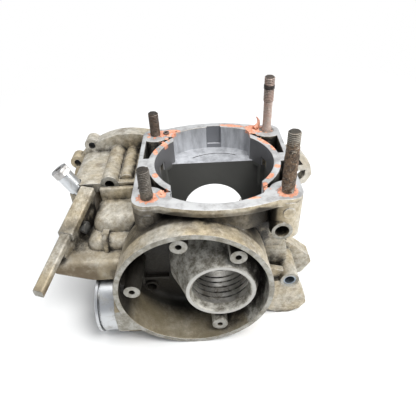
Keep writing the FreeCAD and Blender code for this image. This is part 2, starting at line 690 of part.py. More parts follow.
def drive_tray():
    """Open tray on the drive side, with a rim that carries the cover's screws."""
    front = FAR_REACH - TRAY_DEPTH - TRAY_FLOOR
    tray = belt_prism(*tray_circles(0), front, FAR_REACH)
    bosses = [cylinder_y(x, z, COVER_BOSS_R, FAR_REACH - COVER_BOSS_LENGTH, FAR_REACH)
              for x, z in cover_bosses()]
    tray = join(tray, bosses)
    pocket = belt_prism(*tray_circles(TRAY_WALL), FAR_REACH - TRAY_DEPTH, FAR_REACH + 1)
    inner = [cylinder_y(x, z, COVER_BOSS_R, FAR_REACH - TRAY_DEPTH, FAR_REACH) for x, z in cover_bosses()]
    return tray.cut(pocket.cut(inner))


def cover_screw_holes():
    return [cylinder_y(x, z, COVER_SCREW_R, FAR_REACH - COVER_BOSS_LENGTH - 1, FAR_REACH + 1)
            for x, z in cover_bosses()]


def far_gearbox():
    """Far half of the gearbox, with the joint screw's tube and a ridge along its top."""
    front = FAR_REACH - TRAY_DEPTH
    past = 2 * GEAR_EDGE_R
    body = rounded_block(-GEAR_LEFT, -CHAMBER_R, -past, front + past, -GEAR_BOTTOM_DROP, -GEAR_TOP_DROP, GEAR_EDGE_R)
    body = body.common(block(-BEYOND, 0, 0, front, -BEYOND, 0))
    tube = cylinder_y(JOINT_TUBE[0], JOINT_TUBE[1], JOINT_TUBE_R, 0, front)
    ridge = cylinder_y(RIDGE_X, -GEAR_TOP_DROP - RIDGE_R / 3, RIDGE_R, RIDGE_START, front)
    return [body, tube, ridge]


def main_boss():
    return cylinder_y(0, -CRANK_DROP, MAIN_BOSS_R, CUP_FLOOR - 1, FAR_REACH - TRAY_DEPTH + 4)


def main_cuts():
    """Stepped bore of the far main bearing and the bores of the two gear shafts."""
    end = FAR_REACH + 1
    cuts = [cylinder_y(0, -CRANK_DROP, MAIN_SHOULDER_R, 0, end),
            cylinder_y(0, -CRANK_DROP, MAIN_SEAT_R, CHAMBER_HALF + MAIN_SHOULDER, end)]
    for x, z, r in SHAFT_SEATS:
        cuts.append(cylinder_y(x, z, r, SHAFT_SEAT_START, end))
    return cuts


def side_loop():
    """Open bracket on the right of the seat, with two windows."""
    y0 = LOOP_FRONT
    y1 = LOOP_FRONT + LOOP_THICK
    plate = prism_y(LOOP_OUTLINE, y0, y1)
    plate = plate.makeFillet(LOOP_EDGE_R, edges_along(plate, V(0, 1, 0), lambda m: m.x > SEAT_HALF_X))
    return plate.cut([prism_y(window, y0 - 1, y1 + 1) for window in LOOP_WINDOWS])


def far_tube():
    """Far end of the lower mounting tube, with its web to the chamber."""
    x, z = LOWER_TUBE
    tube = cylinder_y(x, z, LOWER_TUBE_R, 0, TUBE_BACK)
    web = prism_y(from_floor(LUG_WEB_OUTLINE), 0, LUG_WEB_BACK)
    return [tube, web]


def drive_side_case():
    chamber = cylinder_y(0, -CRANK_DROP, CHAMBER_OUTER_R, 0, FAR_REACH - TRAY_DEPTH)
    shell = join(chamber, far_gearbox() + [drive_tray(), main_boss(), side_loop(), far_side(seat_solid())]
                 + far_tube())
    cuts = [far_side(c) for c in seat_cuts() + tube_cuts() + pin_cuts() if c.BoundBox.YMax > 0.5]
    cuts += main_cuts() + cover_screw_holes() + [gear_space()[1], fitting_hole(), seat_dowel_hole()]
    cuts.append(cylinder_y(JOINT_TUBE[0], JOINT_TUBE[1], JOINT_HOLE_R, -1, FAR_REACH - TRAY_DEPTH + 1))
    return cut_each(shell, cuts)


# Pieces that are held by the castings

def stud_places():
    return {"front_left": (-STUD_X, -STUD_Y), "front_right": (STUD_X, -STUD_Y),
            "back_left": (-STUD_X, STUD_Y), "back_right": (STUD_X, STUD_Y)}


def stud(place):
    """Cylinder stud that shoulders on the seat; the back right one has a waist above its foot."""
    height = STUD_HEIGHTS[place]
    c = STUD_CHAMFER
    profile = [(0, -STUD_SEAT), (STUD_ROOT_R - c, -STUD_SEAT), (STUD_ROOT_R, -STUD_SEAT + c),
               (STUD_ROOT_R, 0), (STUD_R, 0)]
    if place == "back_right":
        thread = height - BACK_RIGHT_THREAD
        profile += [(STUD_R, STUD_FOOT), (STUD_SHANK_R, STUD_FOOT + STUD_STEP),
                    (STUD_SHANK_R, thread - STUD_STEP), (STUD_R, thread)]
    profile += [(STUD_R, height - c), (STUD_R - c, height), (0, height)]
    x, y = stud_places()[place]
    return ring_section(profile, V(x, y, 0), V(0, 0, 1))


def tube_ring(inner, outer, along0, along1, centre, axis):
    return ring_section([(inner, along0), (outer, along0), (outer, along1), (inner, along1)], centre, axis)


def stud_collar():
    """Steel ring let into the seat round the back right stud, flush with the machined face."""
    x, y = stud_places()["back_right"]
    return tube_ring(STUD_ROOT_R + FIT, COLLAR_R, -COLLAR_THICK, 0, V(x, y, 0), V(0, 0, 1))


def seat_dowel_hole():
    return cylinder_z(SEAT_DOWEL[0], SEAT_DOWEL[1], DOWEL_R + FIT, -DOWEL_SINK, 1)


def seat_dowel():
    return tube_ring(DOWEL_R - DOWEL_WALL, DOWEL_R, -DOWEL_SINK, DOWEL_STAND,
                     V(SEAT_DOWEL[0], SEAT_DOWEL[1], 0), V(0, 0, 1))


def tube_dowel():
    return tube_ring(TUBE_HOLE_R, TUBE_HOLE_R + TUBE_DOWEL_WALL, -JOINT_DOWEL_HALF, JOINT_DOWEL_HALF,
                     V(LOWER_TUBE[0], 0, LOWER_TUBE[1]), V(0, 1, 0))


def joint_pin(side):
    c = PIN_R / 5
    half = JOINT_DOWEL_HALF
    profile = [(0, -half), (PIN_R - c, -half), (PIN_R, -half + c), (PIN_R, half - c), (PIN_R - c, half), (0, half)]
    return ring_section(profile, V(side * PIN_X, 0, -PIN_DROP), V(0, 1, 0))


def lug_bush():
    x, z = LOWER_TUBE
    outer = TUBE_HOLE_R - FIT
    return tube_ring(outer - BUSH_WALL, outer, -LOWER_TUBE_REACH + 0.5, -LOWER_TUBE_REACH + BUSH_LENGTH,
                     V(x, 0, z), V(0, 1, 0))


def spigot_sleeve():
    """Machined sleeve with a thin end lip and a groove behind it, pressed into its cast root."""
    outer = SPIGOT_R
    lip = SPIGOT_R + SPIGOT_LIP
    groove = SPIGOT_R - SPIGOT_GROOVE
    lip_start = SPIGOT_LENGTH - SPIGOT_LIP_WIDTH
    groove_start = lip_start - SPIGOT_GROOVE_WIDTH
    c = SPIGOT_LIP / 2
    profile = [(SPIGOT_BORE_R, -SPIGOT_SEAT_DEPTH), (SPIGOT_SEAT_R - FIT, -SPIGOT_SEAT_DEPTH),
               (SPIGOT_SEAT_R - FIT, 0), (outer, 0), (outer, groove_start - c), (groove, groove_start),
               (groove, lip_start - c), (lip, lip_start), (lip, SPIGOT_LENGTH - c), (lip - c, SPIGOT_LENGTH),
               (SPIGOT_BORE_R + 3 * c, SPIGOT_LENGTH), (SPIGOT_BORE_R, SPIGOT_LENGTH - 3 * c)]
    return ring_section(profile, V(-SPIGOT_CAST_END, SPIGOT_Y, -SPIGOT_DROP), V(-1, 0, 0))


def seal_sleeve():
    """Steel sleeve in the crank mouth, with a row of grooves turned in its bore."""
    start = HOUSING_REACH - CRANK_BOSS_SETBACK - SEAL_SLEEVE_START
    length = start - CHAMBER_HALF
    inner = CRANK_MOUTH_R
    outer = CRANK_MOUTH_R + SEAL_SLEEVE_WALL - FIT
    profile = [(outer, 0), (outer, length), (inner, length)]
    count = int((length - GROOVE_MARGIN) // GROOVE_PITCH)
    for turn in range(count, 0, -1):
        middle = turn * GROOVE_PITCH
        for radius, along in ((inner, 0.5), (inner + GROOVE_DEPTH, 0.3), (inner + GROOVE_DEPTH, -0.3), (inner, -0.5)):
            profile.append((radius, middle + along * GROOVE_WIDTH))
    profile.append((inner, 0))
    return ring_section(profile, V(0, -start, -CRANK_DROP), V(0, 1, 0))


def bearing_race():
    """Outer race of the far main bearing, against its shoulder."""
    outer = MAIN_SEAT_R - FIT
    inner = outer - RACE_WALL
    y0 = CHAMBER_HALF + MAIN_SHOULDER
    profile = [(inner, 0), (outer, 0), (outer, RACE_WIDTH), (inner, RACE_WIDTH), (inner, RACE_WIDTH - 4),
               (inner + 1.2, RACE_WIDTH - 5), (inner + 1.2, 5), (inner, 4)]
    return ring_section(profile, V(0, y0, -CRANK_DROP), V(0, 1, 0))


def bearing_circlip():
    """Spring ring that keeps the race in, open at the bottom."""
    outer = MAIN_SEAT_R - FIT
    y0 = CHAMBER_HALF + MAIN_SHOULDER + RACE_WIDTH
    ring = tube_ring(outer - 2.6, outer, 0, CIRCLIP_WIDTH, V(0, y0, -CRANK_DROP), V(0, 1, 0))
    gap = block(-4, 4, y0 - 1, y0 + 5, -CRANK_DROP - outer - 2, -CRANK_DROP)
    return ring.cut(gap)


def hex_prism(across, height, centre, axis):
    """Hexagon nut blank with its corners turned off at both ends."""
    corner = across / math.sqrt(3)
    points = [V(corner * math.cos(math.radians(60 * i)), corner * math.sin(math.radians(60 * i)), 0) for i in range(7)]
    hexagon = Part.Face(Part.makePolygon(points)).extrude(V(0, 0, height))
    cap = 0.16 * across
    turned = Part.makeCone(corner - cap / 2, corner, cap / 3).fuse(
        Part.makeCylinder(corner, height - 2 * cap / 3, V(0, 0, cap / 3))).fuse(
        Part.makeCone(corner, corner - cap / 2, cap / 3, V(0, 0, height - cap / 3)))
    nut = hexagon.common(turned)
    nut.Placement = FreeCAD.Placement(centre, FreeCAD.Rotation(V(0, 0, 1), axis))
    return nut


def fitting_axis():
    return V(*FITTING_AXIS).normalize()


def fitting_hole():
    """Bore and spot face that the fitting's spigot and shoulder sit in."""
    axis = fitting_axis()
    foot = V(*FITTING_FOOT)
    bore = Part.makeCylinder(FITTING_R - 2 + FIT, 6 + FITTING_SINK, foot - axis * 6, axis)
    spot = Part.makeCylinder(FITTING_R + FITTING_SPOT, FITTING_LENGTH, foot + axis * FITTING_SINK, axis)
    return bore.fuse(spot)


def cable_fitting():
    """Plain turned elbow piece that stands up and out from the gearbox corner."""
    profile = [(FITTING_BORE_R, -5), (FITTING_R - 2, -5), (FITTING_R - 2, FITTING_SINK), (FITTING_R, FITTING_SINK),
               (FITTING_R, FITTING_LENGTH), (FITTING_BORE_R, FITTING_LENGTH)]
    return ring_section(profile, V(*FITTING_FOOT), fitting_axis())


def fitting_nut():
    axis = fitting_axis()
    start = V(*FITTING_FOOT) + axis * FITTING_LENGTH
    nut = hex_prism(HEX_ACROSS, HEX_HEIGHT, start, axis)
    return nut.cut(Part.makeCylinder(FITTING_BORE_R, HEX_HEIGHT + 2, start - axis, axis))


def screw_seat():
    """Point and outward direction where the screw's head bears on the rail's web."""
    top = V(*RAIL_TOP)
    run = V(*RAIL_TIP) - top
    across = V(-run.y, run.x, 0).normalize()
    return top + run * SCREW_ALONG + across * (RAIL_WEB / 2) - V(0, 0, SCREW_UNDER), across


def screw_hole():
    seat, across = screw_seat()
    return Part.makeCylinder(SCREW_R + FIT, RAIL_WEB + 2, seat + across, -across)


def rail_screw():
    seat, across = screw_seat()
    head = hex_prism(SCREW_HEX_ACROSS, SCREW_HEAD, seat, across)
    return head.fuse(Part.makeCylinder(SCREW_R, SCREW_LENGTH, seat, -across)).removeSplitter()


def sealant_ring(place, phase):
    """Sealant left round a stud, outside the ring its flange pressed bare, with an uneven edge."""
    x, y = stud_places()[place]
    points = []
    for i in range(SEALANT_POINTS):
        turn = 2 * math.pi * i / SEALANT_POINTS
        radius = SEALANT_R + 0.9 * math.sin(3 * turn + phase) + 0.6 * math.sin(5 * turn + 2 * phase)
        points.append((x + radius * math.cos(turn), y + radius * math.sin(turn)))
    bead = prism_z(points, 0, SEALANT_THICK)
    bead = bead.cut(cylinder_z(x, y, STUD_R + FLANGE_RING, -1, 2 * SEALANT_THICK))
    if place == "back_left":
        bead = bead.cut(cylinder_z(SEAT_DOWEL[0], SEAT_DOWEL[1], DOWEL_R + 2 * FIT, -1, 2 * SEALANT_THICK))
    return bead


PIECES = {
    "flywheel_side_case": flywheel_side_case,
    "drive_side_case": drive_side_case,
    "stud_collar": stud_collar,
    "seat_dowel": seat_dowel,
    "joint_pin_left": lambda: joint_pin(-1),
    "joint_pin_right": lambda: joint_pin(1),
    "tube_dowel": tube_dowel,
    "lug_bush": lug_bush,
    "spigot_sleeve": spigot_sleeve,
    "seal_sleeve": seal_sleeve,
    "bearing_race": bearing_race,
    "bearing_circlip": bearing_circlip,
    "cable_fitting": cable_fitting,
    "fitting_nut": fitting_nut,
    "rail_screw": rail_screw,
}
for order, place in enumerate(stud_places()):
    PIECES["stud_" + place] = lambda place=place: stud(place)
    PIECES["sealant_" + place] = lambda place=place, order=order: sealant_ring(place, 1.0 + 1.7 * order)

os.makedirs("parts", exist_ok=True)
for name, make in PIECES.items():
    shape = make()
    if len(shape.Solids) == 1:
        shape = shape.Solids[0]
    shape.exportStep("parts/" + name + ".step")
    print(name, len(shape.Solids), "solids", round(shape.Volume / 1000.0, 2), "cm3", shape.isValid())
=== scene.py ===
# %% [markdown]
# # A stripped engine crankcase
# The object is the bare lower half of a small engine: two aluminium castings, bolted back to back,
# with four steel studs on top, a round cup in front and a gearbox bulge on the left. The solids come
# ready made from CAD, so this lesson is about finishes: cast skin, machined faces, rust, sealant.

import bpy
import math
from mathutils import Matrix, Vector


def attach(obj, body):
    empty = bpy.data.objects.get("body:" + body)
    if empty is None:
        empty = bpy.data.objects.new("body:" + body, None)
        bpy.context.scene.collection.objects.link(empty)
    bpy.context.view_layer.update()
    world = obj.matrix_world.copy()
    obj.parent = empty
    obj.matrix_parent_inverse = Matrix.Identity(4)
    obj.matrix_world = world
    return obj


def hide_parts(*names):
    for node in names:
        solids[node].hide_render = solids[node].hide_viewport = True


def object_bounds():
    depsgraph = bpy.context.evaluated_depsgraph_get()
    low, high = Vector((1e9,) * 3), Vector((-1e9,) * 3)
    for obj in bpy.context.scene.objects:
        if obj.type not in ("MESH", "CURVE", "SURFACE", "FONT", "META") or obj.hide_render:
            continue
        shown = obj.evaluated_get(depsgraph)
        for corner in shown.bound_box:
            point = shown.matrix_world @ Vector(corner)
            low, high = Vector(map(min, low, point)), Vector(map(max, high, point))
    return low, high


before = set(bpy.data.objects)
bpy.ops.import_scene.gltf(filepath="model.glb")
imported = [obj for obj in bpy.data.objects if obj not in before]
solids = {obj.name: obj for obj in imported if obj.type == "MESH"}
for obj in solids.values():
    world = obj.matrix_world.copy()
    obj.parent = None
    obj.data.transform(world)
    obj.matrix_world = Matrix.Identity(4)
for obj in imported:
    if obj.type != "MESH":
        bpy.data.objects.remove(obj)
cad_box = [list(corner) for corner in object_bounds()]
print("solids", len(solids), "box", cad_box)

# %% [markdown]
# ## Camera
# A photograph is easiest to match when the camera is solved first. The place, the turn and the lens
# below put the seat, the studs and the rim of the cup on the same spots as in the photograph, so a
# difference that is left is one of shape or colour and not of viewpoint.

# %% Camera at the photograph's viewpoint
CAMERA_PLACE = (-0.01249, -0.30326, 0.18113)
CAMERA_TURN = (0.90795, 0.03043, -0.04159)
CAMERA_LENS = 33.405
bpy.ops.object.select_all(action="DESELECT")
bpy.ops.object.camera_add(location=CAMERA_PLACE, rotation=CAMERA_TURN)
camera = bpy.context.object
camera.data.lens = CAMERA_LENS
camera.data.sensor_width = 36.0
camera.data.clip_start = 0.01
bpy.context.scene.camera = camera
print("camera lens", camera.data.lens)

# %% [markdown]
# ## Sky and lamps
# A shiny grey object needs a pale room round it, or it turns black. The world is a soft pale dome,
# a wide lamp overhead gives the seat its bright top, one high in front reaches down into the bore but
# leaves the neck under the seat in shade, and a weak one lights the lugs on the right. What the
# camera sees of the dome is plain white, which the Light Path node can tell from what lights the part.

# %% Pale dome
scene = bpy.context.scene
scene.view_settings.view_transform = "Standard"
world = bpy.data.worlds.new("pale_dome")
scene.world = world
world.use_nodes = True
sky = world.node_tree
sky.nodes.clear()
sky_out = sky.nodes.new("ShaderNodeOutputWorld")
sky_path = sky.nodes.new("ShaderNodeLightPath")
sky_mix = sky.nodes.new("ShaderNodeMixShader")
sky.links.new(sky_path.outputs["Is Camera Ray"], sky_mix.inputs["Fac"])
for socket, tint, strength in ((1, (0.92, 0.95, 1.0, 1.0), 0.5), (2, (1.0, 1.0, 1.0, 1.0), 1.0)):
    dome = sky.nodes.new("ShaderNodeBackground")
    dome.inputs["Color"].default_value = tint
    dome.inputs["Strength"].default_value = strength
    sky.links.new(dome.outputs["Background"], sky_mix.inputs[socket])
sky.links.new(sky_mix.outputs["Shader"], sky_out.inputs["Surface"])
print("world", world.name)

# %% Three soft lamps
LAMP_AIM = (0, 0, -0.08)


def soft_lamp(name, place, size, power):
    """Square lamp that looks at the middle of the part."""
    bpy.ops.object.light_add(type="AREA", location=place)
    lamp = bpy.context.object
    lamp.name = name
    lamp.data.shape = "SQUARE"
    lamp.data.size = size
    lamp.data.energy = power
    look = Vector(LAMP_AIM) - Vector(place)
    lamp.rotation_euler = look.to_track_quat("-Z", "Y").to_euler()

soft_lamp("overhead", (-0.05, 0.15, 1.2), 0.9, 10.5)
soft_lamp("front_high", (0.42, -0.55, 1.0), 0.45, 10.0)
soft_lamp("right_side", (1.1, -0.25, 0.55), 0.6, 7.0)

# %% [markdown]
# ## A few short helpers for nodes
# Shader graphs written in code get long. Most of these helpers add one node, take either a number or
# another node's output for an input, and hand back the output socket. The others start a material,
# give it its bump, or put it on a piece.

# %% Node helpers
def plug(tree, socket, value):
    """Sets a number or a colour, or links an output."""
    if isinstance(value, bpy.types.NodeSocket):
        tree.links.new(value, socket)
    else:
        socket.default_value = value


def put(tree, node, **values):
    """Feeds a node's inputs by name; underscores in a name stand for spaces."""
    for name, value in values.items():
        plug(tree, node.inputs[name.replace("_", " ")], value)
    return node


def add(tree, kind, **values):
    """New node with its inputs fed."""
    return put(tree, tree.nodes.new("ShaderNode" + kind), **values)


def calc(tree, operation, a, b=0.0, c=0.0):
    node = tree.nodes.new("ShaderNodeMath")
    node.operation = operation
    for socket, value in zip(node.inputs, (a, b, c)):
        plug(tree, socket, value)
    return node.outputs[0]


def scale(tree, mask, amount):
    return calc(tree, "MULTIPLY", mask, amount)


def flip(tree, mask):
    """The mask's opposite."""
    return calc(tree, "SUBTRACT", 1.0, mask)


def vector_calc(tree, operation, a, b=None):
    node = tree.nodes.new("ShaderNodeVectorMath")
    node.operation = operation
    plug(tree, node.inputs[0], a)
    if b is not None:
        plug(tree, node.inputs[1], b)
    return node.outputs["Value"] if operation in ("LENGTH", "DOT_PRODUCT") else node.outputs["Vector"]


def object_place(tree):
    """Place on the part, in metres from the middle of the seat."""
    return add(tree, "TexCoord").outputs["Object"]


def ramp(tree, value, start, end, low_value=0.0, high_value=1.0, shape="SMOOTHSTEP"):
    """Value from start to end, spread over low_value to high_value and held outside."""
    node = tree.nodes.new("ShaderNodeMapRange")
    node.interpolation_type = shape
    put(tree, node, Value=value, From_Min=start, From_Max=end, To_Min=low_value, To_Max=high_value)
    return node.outputs["Result"]


def blend(tree, amount, first, second):
    node = tree.nodes.new("ShaderNodeMix")
    node.data_type = "RGBA"
    plug(tree, node.inputs[0], amount)
    plug(tree, node.inputs[6], first)
    plug(tree, node.inputs[7], second)
    return node.outputs[2]


def noise(tree, place, size, detail=3.0, rough=0.55, warp=0.0):
    node = add(tree, "TexNoise", Vector=place, Scale=size, Detail=detail, Roughness=rough, Distortion=warp)
    return node.outputs[0]


def new_group(name, inputs, outputs):
    """Empty shader group with named sockets; returns the group and its two end nodes."""
    group = bpy.data.node_groups.new(name, "ShaderNodeTree")
    for label, kind, value in inputs:
        socket = group.interface.new_socket(label, in_out="INPUT", socket_type=kind)
        socket.default_value = value
    for label, kind in outputs:
        group.interface.new_socket(label, in_out="OUTPUT", socket_type=kind)
    return group, group.nodes.new("NodeGroupInput"), group.nodes.new("NodeGroupOutput")


def use_group(tree, group, **values):
    node = add(tree, "Group")
    node.node_tree = group
    return put(tree, node, **values)

print("node helpers ready")

# %% Material helpers
def new_material(name):
    """Material, with its tree and its shader."""
    material = bpy.data.materials.new(name)
    material.use_nodes = True
    tree = material.node_tree
    return material, tree, tree.nodes["Principled BSDF"]


def bump(tree, shader, height, distance, strength=1.0, edge=0.0):
    """Bump on the shader; edge is the radius that sharp edges seem to have."""
    node = add(tree, "Bump", Distance=distance, Strength=strength, Height=height)
    if edge:
        soft = add(tree, "Bevel", Radius=edge)
        soft.samples = 6
        put(tree, node, Normal=soft.outputs["Normal"])
    put(tree, shader, Normal=node.outputs["Normal"])


def paint(piece, material):
    """Gives a piece this one material."""
    piece.data.materials.clear()
    piece.data.materials.append(material)

print("material helpers ready")

# %% [markdown]
# ## Floor
# The case stands on a pale floor that catches its soft shadow. Farther out the camera sees plain white
# instead, so the edge of the floor never shows against the dome.

# %% Floor
FADE_START, FADE_END = 0.30, 0.75
floor_level = cad_box[0][2]
bpy.ops.mesh.primitive_plane_add(size=6.0, location=(0, 0, floor_level))
floor = bpy.context.object
floor.name = "floor"
floor_paint, tree, shader = new_material("floor_paint")
put(tree, shader, Base_Color=(0.93, 0.93, 0.92, 1.0), Roughness=0.8)
far_out = ramp(tree, vector_calc(tree, "LENGTH", object_place(tree)), FADE_START, FADE_END, shape="LINEAR")
seen = scale(tree, far_out, add(tree, "LightPath").outputs["Is Camera Ray"])
floor_mix = add(tree, "MixShader", Fac=seen)
plug(tree, floor_mix.inputs[1], shader.outputs["BSDF"])
plug(tree, floor_mix.inputs[2], add(tree, "Emission").outputs["Emission"])
put(tree, tree.nodes["Material Output"], Surface=floor_mix.outputs["Shader"])
paint(floor, floor_paint)
print("floor at", round(floor_level, 4))

# %% [markdown]
# ## Group: cast skin
# Cast aluminium that has lain about for years is grainy and tan-grey, with cloudy patches where
# oil has soaked in. One group gives the clouds, the finer stains and a height for the grain, so both
# castings share it and their patterns run on across the joint.

# %% Cast skin
FLOAT = "NodeSocketFloat"
VECTOR = "NodeSocketVector"

cast_skin, skin_in, skin_out = new_group(
    "cast_skin", [("Cloud Scale", FLOAT, 24.0), ("Grain Scale", FLOAT, 850.0)],
    [("Cloud", FLOAT), ("Mottle", FLOAT), ("Stain", FLOAT), ("Speck", FLOAT), ("Height", FLOAT)])
skin_place = object_place(cast_skin)
cloud = noise(cast_skin, skin_place, skin_in.outputs["Cloud Scale"], 6.0, 0.62)
mottle = noise(cast_skin, skin_place, 210.0, 8.0, 0.78)
stain = noise(cast_skin, skin_place, 46.0, 8.0, 0.74)
speck = noise(cast_skin, skin_place, 620.0, 3.0, 0.6)
grain = noise(cast_skin, skin_place, skin_in.outputs["Grain Scale"], 3.0, 0.6)
lumps = noise(cast_skin, skin_place, 260.0, 4.0, 0.6)
swell = noise(cast_skin, skin_place, 60.0, 3.0, 0.5)
height = calc(cast_skin, "MULTIPLY_ADD", grain, 0.35, scale(cast_skin, lumps, 0.7))
height = calc(cast_skin, "MULTIPLY_ADD", swell, 1.1, height)
put(cast_skin, skin_out,
    Cloud=ramp(cast_skin, cloud, 0.36, 0.64), Mottle=ramp(cast_skin, mottle, 0.32, 0.68),
    Stain=ramp(cast_skin, stain, 0.47, 0.66), Speck=ramp(cast_skin, speck, 0.62, 0.74), Height=height)
print("group", cast_skin.name)

# %% [markdown]
# ## Group: dirt and painted shade in corners
# Corners and hollows are darkened: partly dirt where a rag does not reach, partly painted shade.
# Ambient Occlusion finds those places, and a noise breaks the border.

# %% Dirt and painted shade in corners
dirt_shade_group, dirt_shade_in, dirt_shade_out = new_group(
    "dirt_shade_group", [("Reach", FLOAT, 0.012), ("Amount", FLOAT, 1.0)], [("Mask", FLOAT)])
near_walls = add(dirt_shade_group, "AmbientOcclusion", Distance=dirt_shade_in.outputs["Reach"])
near_walls.samples = 8
dirt_shade_noise = noise(dirt_shade_group, object_place(dirt_shade_group), 120.0, 4.0, 0.65)
closed = flip(dirt_shade_group, near_walls.outputs["AO"])
closed = scale(dirt_shade_group, closed, ramp(dirt_shade_group, dirt_shade_noise, 0.25, 0.7, 0.5, 1.3))
closed = ramp(dirt_shade_group, closed, 0.22, 0.75)
put(dirt_shade_group, dirt_shade_out, Mask=scale(dirt_shade_group, closed, dirt_shade_in.outputs["Amount"]))
print("group", dirt_shade_group.name)

# %% [markdown]
# ## Group: rubbed edges
# Handling rubs the outer edges bright. The Bevel node rounds the normal near an edge; where the
# rounded normal and the true one differ, there is an edge.

# %% Rubbed edges
rubbed, rubbed_in, rubbed_out = new_group("rubbed_edges", [("Width", FLOAT, 0.0012)], [("Mask", FLOAT)])
rounder = add(rubbed, "Bevel", Radius=rubbed_in.outputs["Width"])
rounder.samples = 6
true_side = add(rubbed, "NewGeometry").outputs["Normal"]
alike = vector_calc(rubbed, "DOT_PRODUCT", rounder.outputs["Normal"], true_side)
rub_noise = ramp(rubbed, noise(rubbed, object_place(rubbed), 160.0, 4.0, 0.7), 0.4, 0.62)
edge = ramp(rubbed, flip(rubbed, alike), 0.02, 0.16)
put(rubbed, rubbed_out, Mask=scale(rubbed, edge, rub_noise))
print("group", rubbed.name)

# %% [markdown]
# ## Groups: where the tools have been
# The castings are one mesh each, yet their seat, rim, pads and bores are machined. Three small
# groups pick such places: inside a round zone, facing a way, and between two heights.

# %% Directions and axes
UP, DOWN = (0, 0, 1), (0, 0, -1)
FRONT, BACK = (0, -1, 0), (0, 1, 0)
RIGHT = (1, 0, 0)
ROUND_Z, ROUND_Y = (1, 1, 0), (1, 0, 1)
print("a round zone about Z keeps", ROUND_Z)

# %% Round zone, facing, and band
round_zone, zone_in, zone_out = new_group(
    "round_zone", [("Centre", VECTOR, (0, 0, 0)), ("Keep", VECTOR, ROUND_Z), ("Radius", FLOAT, 0.01),
                   ("Feather", FLOAT, 0.0003)], [("Mask", FLOAT)])
away = vector_calc(round_zone, "SUBTRACT", object_place(round_zone), zone_in.outputs["Centre"])
away = vector_calc(round_zone, "MULTIPLY", away, zone_in.outputs["Keep"])
inside = calc(round_zone, "SUBTRACT", zone_in.outputs["Radius"], vector_calc(round_zone, "LENGTH", away))
inside = calc(round_zone, "DIVIDE", inside, zone_in.outputs["Feather"])
put(round_zone, zone_out, Mask=ramp(round_zone, inside, -1.0, 1.0))

facing, facing_in, facing_out = new_group(
    "facing", [("Way", VECTOR, UP), ("Least", FLOAT, 0.9)], [("Mask", FLOAT)])
side = add(facing, "NewGeometry").outputs["Normal"]
turned = vector_calc(facing, "DOT_PRODUCT", side, facing_in.outputs["Way"])
put(facing, facing_out, Mask=calc(facing, "GREATER_THAN", turned, facing_in.outputs["Least"]))

band, band_in, band_out = new_group(
    "band", [("Way", VECTOR, UP), ("From", FLOAT, 0.0), ("To", FLOAT, 1.0)], [("Mask", FLOAT)])
along = vector_calc(band, "DOT_PRODUCT", object_place(band), band_in.outputs["Way"])
above = calc(band, "GREATER_THAN", along, band_in.outputs["From"])
below = calc(band, "LESS_THAN", along, band_in.outputs["To"])
put(band, band_out, Mask=scale(band, above, below))
print("groups", round_zone.name, facing.name, band.name)

# %% Masks built from those groups
def zone_mask(tree, centre, keep, radius, feather=0.0003):
    return use_group(tree, round_zone, Centre=centre, Keep=keep, Radius=radius, Feather=feather).outputs[0]


def facing_mask(tree, way, least=0.9):
    return use_group(tree, facing, Way=way, Least=least).outputs[0]


def band_mask(tree, way, start, end):
    return use_group(tree, band, Way=way, From=start, To=end).outputs[0]


def both(tree, *masks):
    result = masks[0]
    for mask in masks[1:]:
        result = scale(tree, result, mask)
    return result


def either(tree, *masks):
    result = masks[0]
    for mask in masks[1:]:
        result = calc(tree, "MAXIMUM", result, mask)
    return result

print("mask helpers ready")

# %% [markdown]
# ## Sealant smears
# Orange sealant was spread on the seat before the cylinder was pulled off. Thick blobs are modelled
# further down; the thin film that stays on the metal is a mask of soft ovals broken up by noise.

# %% Sealant film: each oval's middle and half widths in millimetres, and its turn
FILM_OVALS = (
    (-52, 56, 14, 7, 0.0), (-40, 59.5, 9, 4.5, 0.0), (-36, 50, 5, 7, 0.3), (-47, 33, 3.4, 9, 0.6),
    (-55, 20, 2.6, 8, 0.2), (47, 57, 14, 8, -0.4), (38, 52, 6, 10, -0.6), (22, 66.5, 14, 3.0, -0.25),
    (50, 30, 3.0, 9, 0.6), (57, 16, 2.2, 6, 0.2), (55, -16, 3.4, 3.0, 0.0), (46, -31, 3.4, 6.0, -0.6),
    (39, -46, 3.5, 6.5, -0.3), (56, -55, 9.5, 8.5, 0.0), (-56, -54, 10, 7.5, 0.0), (-45, -50, 4, 6, 0.3),
    (-52, -22, 3.0, 4.0, 0.4), (-43, -46, 4.0, 4.0, 0.0), (27, -61, 7, 1.6, 0.0), (62, -44, 3, 8, 0.0))
MILLIMETRE = 0.001
film, film_in, film_out = new_group("sealant_film", [("Cover", FLOAT, 0.5)], [("Mask", FLOAT)])
film_place = object_place(film)
film_edge = noise(film, film_place, 210.0, 5.0, 0.7, 0.6)
patches = None
for cx, cy, rx, ry, turn in FILM_OVALS:
    oval = add(film, "Mapping", Vector=film_place)
    oval.vector_type = "TEXTURE"
    put(film, oval, Location=(cx * MILLIMETRE, cy * MILLIMETRE, 0), Rotation=(0, 0, turn),
        Scale=(rx * MILLIMETRE, ry * MILLIMETRE, 1.0))
    reach = vector_calc(film, "LENGTH", vector_calc(film, "MULTIPLY", oval.outputs["Vector"], ROUND_Z))
    inside = flip(film, reach)
    patches = inside if patches is None else calc(film, "MAXIMUM", patches, inside)
frayed = calc(film, "SUBTRACT", film_edge, film_in.outputs["Cover"])
spread = calc(film, "ADD", scale(film, patches, 0.8), frayed)
put(film, film_out, Mask=ramp(film, spread, 0.02, 0.12))
print("film ovals", len(FILM_OVALS))
